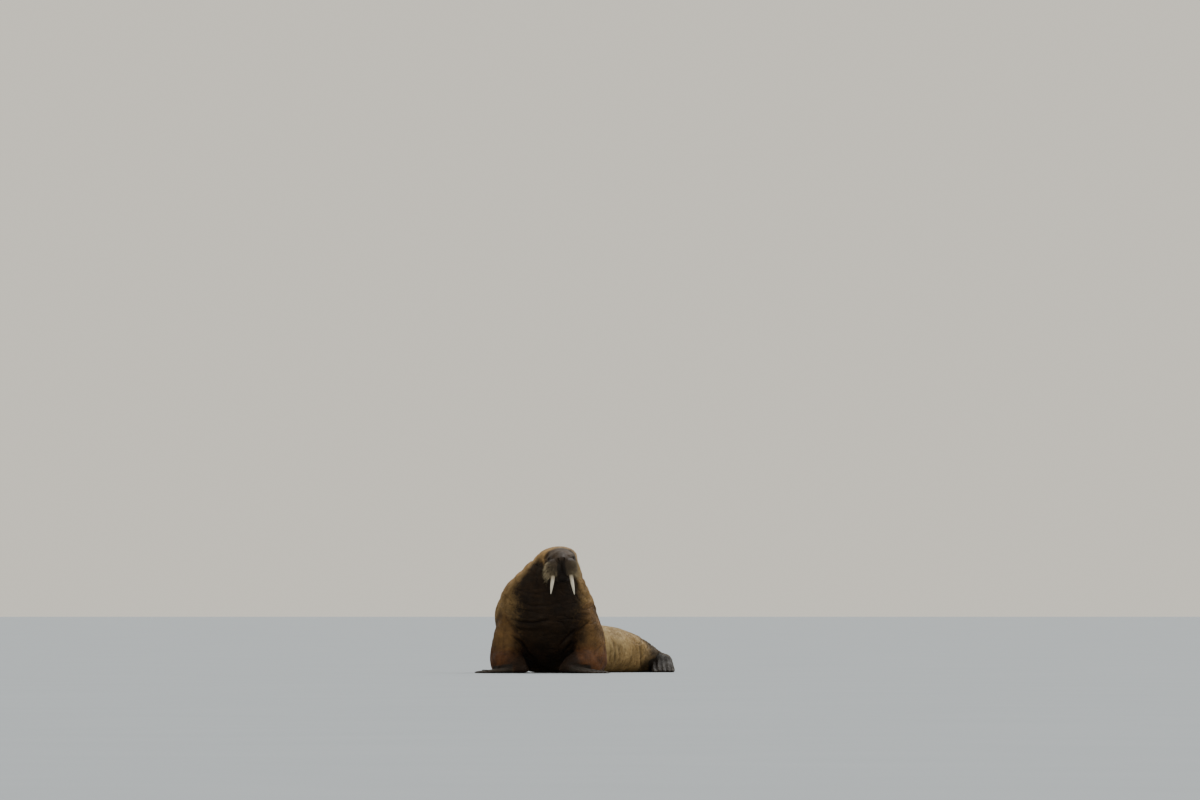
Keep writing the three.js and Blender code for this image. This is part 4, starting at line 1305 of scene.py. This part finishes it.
def tusk_grid(side, rows, around):
    """A circle carried along a bowed line from root to tip. Its radius follows the tusk's taper,
    less furrows that are powers of a cosine of the angle, and closes as a quarter ellipse."""
    u = np.linspace(0, 1, rows)
    tip = np.array([side * TUSK_TIP_OUT + TUSK_LEAN, TUSK_TIP_AHEAD, TUSK_REACH[side]])
    path = mirrored(TUSK_ROOT, side) * (1 - u[:, None]) + tip * u[:, None]
    path[:, 1] -= TUSK_BOW * np.sin(np.pi * u)
    along, first, second = path_frames(path)
    theta = np.linspace(0, 2 * np.pi, around, endpoint=False)
    radius = smooth_row(TUSK_RADII, u)[:, None] * np.ones(around)
    wave = theta + 0.25 * np.sin(3 * u[:, None] + side)
    furrow = 0.5 * (0.5 + 0.5 * np.cos(5 * wave)) ** 6 + 0.35 * (0.5 + 0.5 * np.cos(9 * wave + 1)) ** 8
    radius = radius * (1 - 0.055 * furrow * ramp(1 - u, 0.10, 0.35)[:, None])
    radius *= 1 + 0.012 * np.sin(21 * u[:, None] + 2 * np.sin(theta))
    radius *= np.sqrt(np.clip(1 - ((u - 0.965) / 0.035).clip(0) ** 2, 0, 1))[:, None]
    ring = np.cos(theta)[:, None] * first[:, None] + np.sin(theta)[:, None] * second[:, None]
    return path[:, None] + radius[..., None] * ring, np.broadcast_to(u[:, None], (rows, around)), theta


TUSK_ROWS = 96
TUSK_AROUND = 48
IVORY_COLOUR = linear(229, 222, 205)
IVORY_STREAK = linear(199, 188, 162)
IVORY_STAIN = linear(122, 98, 68)
IVORY_CRACK = linear(96, 76, 54)

ivory, tree, surface = new_material("ivory")
lay = attribute(tree, "lay", "Vector")
down = node(tree, "SeparateXYZ", {"Vector": lay}).outputs["Z"]
streaks = cloud(tree, stretched(tree, lay, (2.2, 2.2, 2.6)), 2.4, 6.0, 0.65)
cracks = ranged(tree, cell_edges(tree, stretched(tree, lay, (4.0, 4.0, 1.1)), 2.0), 0.0, 0.035, 1.0, 0.0)
spots = math(tree, "SUBTRACT", cloud(tree, lay, 5.0, 4.0), 0.5)
stain = ranged(tree, math(tree, "MULTIPLY_ADD", spots, 0.5, down), 0.52, 0.16, 0.0, 0.75)
colour = mixed(tree, ranged(tree, streaks, 0.35, 0.68), IVORY_COLOUR, IVORY_STREAK)
colour = mixed(tree, stain, colour, IVORY_STAIN)
give(tree, surface, {
    "Base Color": mixed(tree, product(tree, cracks, 0.55), colour, IVORY_CRACK),
    "Roughness": ranged(tree, streaks, 0.3, 0.7, 0.24, 0.42),
    "Coat Weight": 0.15,
    "Normal": bumpy(tree, math(tree, "MULTIPLY_ADD", cracks, -0.8, streaks), 0.35, 0.001),
})
for side, name in ((1, "left"), (-1, "right")):
    grid, u, theta = tusk_grid(side, TUSK_ROWS, TUSK_AROUND)
    flat = head_to_body(grid).reshape(-1, 3)
    faces = grid_faces(TUSK_ROWS, TUSK_AROUND)
    tusk = add_object("ivory_tusk_" + name, mesh_of("ivory_tusk_" + name, flat, faces))
    turned_lay = np.stack([np.cos(theta) * np.ones_like(u), np.sin(theta) * np.ones_like(u), u], axis=-1)
    add_mark(tusk.data, "lay", turned_lay.reshape(-1, 3))
    tusk.data.shade_smooth()
    tusk.data.materials.append(ivory)
    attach(tusk, "root")
    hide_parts("tusk_" + name)


# Whisker bristles
# Nearly five hundred stiff quill-like bristles stand in rows on the two pads. They are horn,
# amber at the root and pale at the tip, and bend down and outwards, the outer ones longest.
BRISTLE_LENGTHS = (0.010, 0.082)
BRISTLE_RADIUS = 0.00105
BRISTLE_SUNK = 0.010
BRISTLE_RINGS = 6
ROD_SIDES = 3


def rods(start, way, length, radius, bend, rings):
    """Three-sided rods that taper to points. Each follows start + way times its share of the
    length, plus a bend that grows with the square of the share; the last ring is one point."""
    share = np.linspace(0, 1, rings + 1)
    path = start[:, None] + way[:, None] * (length[:, None] * share)[..., None]
    path = path + bend[:, None] * (length[:, None] * share**2)[..., None]
    first = unit(np.cross(way, np.array([0.3, 0.4, 0.86])))
    second = np.cross(way, first)
    theta = np.arange(ROD_SIDES) * 2 * np.pi / ROD_SIDES
    ring = np.cos(theta)[:, None] * first[:, None] + np.sin(theta)[:, None] * second[:, None]
    taper = radius[:, None] * (1 - share[:-1] ** 1.6 * 0.8)
    rim = path[:, :-1, None] + taper[..., None, None] * ring[:, None]
    return np.concatenate([rim.reshape(len(start), -1, 3), path[:, -1:]], axis=1)


def rod_faces(count, rings):
    """Faces of that many rods: quads between rings, a triangle at the root, and the tip's fan."""
    size = rings * ROD_SIDES + 1
    faces = []
    for ring in range(rings - 1):
        for k in range(ROD_SIDES):
            a, b = ring * ROD_SIDES + k, ring * ROD_SIDES + (k + 1) % ROD_SIDES
            faces.append((a, b, b + ROD_SIDES, a + ROD_SIDES))
    last = (rings - 1) * ROD_SIDES
    fans = [(last + k, last + (k + 1) % ROD_SIDES, size - 1) for k in range(ROD_SIDES)] + [(2, 1, 0)]
    step = (np.arange(count) * size)[:, None, None]
    return (np.array(faces) + step).reshape(-1, 4).tolist() + (np.array(fans) + step).reshape(-1, 3).tolist()


chance = np.random.default_rng(11)
count = len(roots)
length = between(BRISTLE_LENGTHS, bristle_share**0.9)
length = length * chance.uniform(0.72, 1.15, count) + BRISTLE_SUNK
ways = unit(bristle_ways + chance.normal(0, 0.10, (count, 3)))
bends = np.stack([0.05 * np.sign(roots[:, 0]), np.full(count, 0.06), np.full(count, -0.30)], axis=1)
bends = bends * chance.uniform(0.4, 1.4, count)[:, None]
radius = BRISTLE_RADIUS * chance.uniform(0.7, 1.1, count)
shape = rods(roots - ways * BRISTLE_SUNK, ways, length, radius, bends, BRISTLE_RINGS)
flat = head_to_body(shape.reshape(-1, 3))
bristles = add_object("bristles", mesh_of("bristles", flat, rod_faces(count, BRISTLE_RINGS)))
reach = np.repeat(np.arange(BRISTLE_RINGS) / BRISTLE_RINGS, ROD_SIDES)
add_mark(bristles.data, "reach", np.tile(np.append(reach, 1.0), count))
add_mark(bristles.data, "own", np.repeat(chance.uniform(0, 1, count), shape.shape[1]))
bristles.data.shade_smooth()

horn, tree, surface = new_material("bristle")
fleck = cloud(tree, own_place(tree), 500.0, 2.0)
light = math(tree, "MULTIPLY_ADD", attribute(tree, "own"), 0.5, attribute(tree, "reach"))
light = math(tree, "MULTIPLY_ADD", math(tree, "SUBTRACT", fleck, 0.5), 0.5, light)
give(tree, surface, {
    "Base Color": mixed(tree, ranged(tree, light, 0.1, 1.1), linear(92, 74, 48), linear(196, 180, 142)),
    "Roughness": ranged(tree, fleck, 0.0, 1.0, 0.28, 0.48),
})
bristles.data.materials.append(horn)
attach(bristles, "root")


# Claws
# A small horn claw lies on each digit a little behind the flipper's edge: five small ones on
# each foreflipper and three larger ones on each hind flipper.
CLAWS = {
    "fore": {"digits": (0.8, 0.4, 0.0, -0.4, -0.8), "at": 0.86, "long": 0.020, "wide": 0.005, "tall": 0.004},
    "hind": {"digits": (0.4, 0.0, -0.4), "at": 0.84, "long": 0.030, "wide": 0.0065, "tall": 0.006},
}
CLAW_ROWS = 14
CLAW_AROUND = 16
CLAW_CLEARANCE = 0.0005


def claw_grid(name, s, form, rows, around):
    """An ellipse carried along the digit, with a sine for its arch and the root of a falling
    share for its width, so that it ends in a blunt point."""
    near = np.array([form["at"] - 0.06, form["at"] + 0.04])
    both = flipper_points(name, np.array([s, s]), near, np.array([True, True]))
    ahead = unit(both[1] - both[0])
    aside = unit(np.cross(ahead, np.array([0, 0, 1.0])))
    up = np.cross(aside, ahead)
    u = np.linspace(0, 1, rows)[:, None, None]
    theta = np.linspace(0, 2 * np.pi, around, endpoint=False)[None, :, None]
    width = form["wide"] * np.sqrt(np.clip(1 - u**3, 0.0004, 1)) * np.minimum(1, (u + 0.04) * 8) ** 0.5
    arch = form["tall"] * (np.sin(np.pi * (0.22 + 0.62 * u)) - 0.35)
    middle = both[0] + ahead * form["long"] * (u - 0.1) + up * arch
    return middle + width * (np.cos(theta) * aside + 0.62 * np.sin(theta) * up)


points, faces = [], []
for name in FLIPPERS:
    form = CLAWS["fore" if name.startswith("fore") else "hind"]
    for s in form["digits"]:
        grid = claw_grid(name, s, form, CLAW_ROWS, CLAW_AROUND)
        faces += grid_faces(CLAW_ROWS, CLAW_AROUND, CLAW_ROWS * CLAW_AROUND * len(points))
        points.append(grid.reshape(-1, 3))
flat = np.vstack(points)
flat[:, 2] = flat[:, 2].clip(CLAW_CLEARANCE)
claws = add_object("claws", mesh_of("claws", flat, faces))
claws.data.shade_smooth()
claw_material, tree, surface = new_material("claw")
bands = cloud(tree, own_place(tree), 160.0, 4.0)
give(tree, surface, {
    "Base Color": mixed(tree, ranged(tree, bands, 0.35, 0.65), linear(28, 22, 17), linear(50, 40, 30)),
    "Roughness": ranged(tree, bands, 0.0, 1.0, 0.42, 0.68),
    "Specular IOR Level": 0.20,
    "Normal": bumpy(tree, bands, 0.3, 0.001),
})
claws.data.materials.append(claw_material)
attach(claws, "root")


# Short hair
# Thin stiff hairs lie flat over the hide and point to the hind end and down the limbs. They are
# set as thin tufts that overlap, smallest on the face, with none on bare skin.
TUFTS_A_PIECE = 19000
TUFT_PIECES = ("coat_first", "coat_second", "coat_third", "coat_fourth", "coat_fifth", "coat_sixth")
TUFT_RINGS = 2
TUFT_LENGTH = 0.013
TUFT_WIDTH = 0.0010
TUFT_LIFT = 0.13
TUFT_BEND = 0.10
TUFT_SUNK = 0.002
PATCH = 0.003
# Each form's part of the unwrap: its left and lower edge, its width and height.
CHARTS = {
    "trunk": (0.02, 0.34, 0.96, 0.64),
    "head": (0.02, 0.02, 0.30, 0.28),
    ("upper", 1): (0.34, 0.02, 0.14, 0.28),
    ("upper", -1): (0.50, 0.02, 0.14, 0.28),
    ("fore", 1): (0.66, 0.02, 0.14, 0.28),
    ("fore", -1): (0.82, 0.02, 0.14, 0.28),
}

triangles = np.empty(len(hide.loop_triangles) * 3, np.int32)
hide.loop_triangles.foreach_get("vertices", triangles)
triangles = triangles.reshape(-1, 3)
points = read_points(hide)
corners = points[triangles]
area = 0.5 * np.linalg.norm(np.cross(corners[:, 1] - corners[:, 0], corners[:, 2] - corners[:, 0]), axis=1)
haired = (1 - marks["bare"]) * (1 - 0.75 * marks["face"]) * (1 - marks["muzzle"])
haired = haired * ramp(points[:, 2], 0.004, 0.03)
haired = haired * ramp(distance_to(body_to_head(points), EYE_PLACE), 0.030, 0.040)
haired = haired * (1 - groove(marks["hollow"] - 1.05, 0.22))
odds = area * haired[triangles].mean(axis=1)
odds /= odds.sum()
chance = np.random.default_rng(23)
total = TUFTS_A_PIECE * len(TUFT_PIECES)
picked = np.sort(chance.choice(len(triangles), total, p=odds))
share = chance.dirichlet((1, 1, 1), total)


def at_roots(values):
    """Values of the skin's vertices read at the tufts' roots."""
    return np.einsum("ij,ij...->i...", share, values[triangles[picked]])


root = at_roots(points)
normal = unit(at_roots(normals))
local = body_to_head(root)
flows, nears, patches = [], [], []
forms_of_hair = {"trunk": (TRUNK, root), "head": (SKULL, local)}
forms_of_hair.update({key: (rows, root) for key, rows in limbs.items()})
for key, (stations, where) in forms_of_hair.items():
    t, x, y, beyond, way = place_along(stations, where, 60)
    flows.append(way @ HEAD_TURN.T if key == "head" else way)
    nears.append(np.sqrt(x**2 + y**2 + beyond**2) - (0.25 if key == "head" else 0))
    left, low, wide, high = CHARTS[key]
    patches.append(np.stack([left + wide * (0.5 + np.arctan2(y, x) / (2 * np.pi)), low + high * t], axis=1))
nears = np.array(nears)
weights = np.exp(-12 * (nears - nears.min(axis=0)))
flow = np.einsum("ki,kij->ij", weights, np.array(flows))
form = np.argmin(nears, axis=0)
patch = np.array(patches)[form, np.arange(total)]
flow = flow + chance.normal(0, 0.22, (total, 3))
flow = unit(flow - normal * np.sum(flow * normal, axis=1)[:, None])
lift = TUFT_LIFT * chance.uniform(0.5, 1.3, total)
way = unit(flow + normal * lift[:, None])
on_head = ramp(-local[:, 1], -0.16, -0.02) * ramp(local[:, 2], -0.25, -0.15)
length = TUFT_LENGTH * (1 - 0.5 * on_head) * chance.uniform(0.7, 1.25, total)
width = TUFT_WIDTH * (1 - 0.35 * on_head) * chance.uniform(0.7, 1.2, total)
shape = rods(root - way * TUFT_SUNK, way, length, width, -normal * TUFT_BEND, TUFT_RINGS)
root_marks = {name: at_roots(values) for name, values in marks.items()}
root_lay = at_roots(lay_of(*place_on_trunk(points)))
own_light = chance.uniform(0.0, 1.0, total)

hair, tree, surface = new_material("short_hair")
# The hair is painted 18 percent lighter than the hide to make up for the shade on the tufts, and with less
# painted crease shade.
look = placed(tree, markings_and_painted_shading, {"Hollow shade": 0.45, "Light": 1.18})
own = attribute(tree, "own")
give(tree, surface, {
    "Base Color": brighter(tree, look["Colour"], ranged(tree, own, 0.0, 1.0, 0.86, 1.2)),
    "Roughness": ranged(tree, own, 0.0, 1.0, 0.5, 0.75),
    "Specular IOR Level": 0.2,
})
for number, name in enumerate(TUFT_PIECES):
    mine = np.arange(number, total, len(TUFT_PIECES))
    size = shape.shape[1]
    mesh = mesh_of(name, shape[mine].reshape(-1, 3), rod_faces(len(mine), TUFT_RINGS))
    for mark, values in root_marks.items():
        add_mark(mesh, mark, np.repeat(values[mine], size))
    add_mark(mesh, "lay", np.repeat(root_lay[mine], size, axis=0))
    add_mark(mesh, "own", np.repeat(own_light[mine], size))
    corner = np.empty(len(mesh.loops), np.int32)
    mesh.loops.foreach_get("vertex_index", corner)
    turn = np.linspace(0, 2 * np.pi, size, endpoint=False)
    spread = 0.5 * PATCH * np.stack([np.cos(turn), np.sin(turn)], axis=1)
    places = patch[mine][corner // size] + spread[corner % size]
    mesh.uv_layers.new(name="OFBake").data.foreach_set("uv", places.astype(np.float32).ravel())
    mesh.shade_smooth()
    mesh.materials.append(hair)
    tufts = add_object(name, mesh)
    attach(tufts, "root")


# Floor and light
# A plain pale floor to the horizon, a broad soft light from above and behind, as under a bright
# overcast sky, a weaker one from the animal's left, and a weak fill from the front.
FLOOR_NEAR = -140
FLOOR_FAR = 900
FLOOR_SIDE = 400
FLOOR_COLOUR = linear(141, 150, 158)
FLOOR_PATCH = linear(151, 159, 166)
floor_mesh = bpy.data.meshes.new("floor")
left, right = -FLOOR_SIDE, FLOOR_SIDE
edge = [(left, FLOOR_NEAR, 0), (right, FLOOR_NEAR, 0), (right, FLOOR_FAR, 0), (left, FLOOR_FAR, 0)]
floor_mesh.from_pydata(edge, [], [(0, 1, 2, 3)])
floor = add_object("floor", floor_mesh)
pale, tree, surface = new_material("pale_floor")
give(tree, surface, {
    "Base Color": mixed(tree, cloud(tree, own_place(tree), 0.6, 3.0), FLOOR_COLOUR, FLOOR_PATCH),
    "Roughness": 0.8,
})
floor_mesh.materials.append(pale)

LIGHTS = {  # towards the light, strength, width in degrees
    "sky": ((0.35, 0.95, 1.60), 2.4, 50),
    "fill": ((0.30, -1.0, 0.60), 0.35, 70),
    "side": ((1.4, 0.2, 0.6), 0.7, 60),
}
WORLD_COLOUR = linear(240, 234, 220)
WORLD_STRENGTH = 0.95

for name, (towards, strength, width) in LIGHTS.items():
    light = bpy.data.lights.new(name, "SUN")
    light.energy = strength
    light.angle = np.radians(width)
    lamp = add_object(name, light)
    back = unit(np.array(towards))
    across = unit(np.cross(np.array([0, 0, 1.0]), back))
    turn = np.column_stack([across, np.cross(back, across), back])
    lamp.matrix_world = Matrix(turn.tolist()).to_4x4()
world = bpy.data.worlds.new("studio")
world.use_nodes = True
backdrop = world.node_tree.nodes["Background"]
give(world.node_tree, backdrop, {"Color": WORLD_COLOUR, "Strength": WORLD_STRENGTH})
bpy.context.scene.world = world
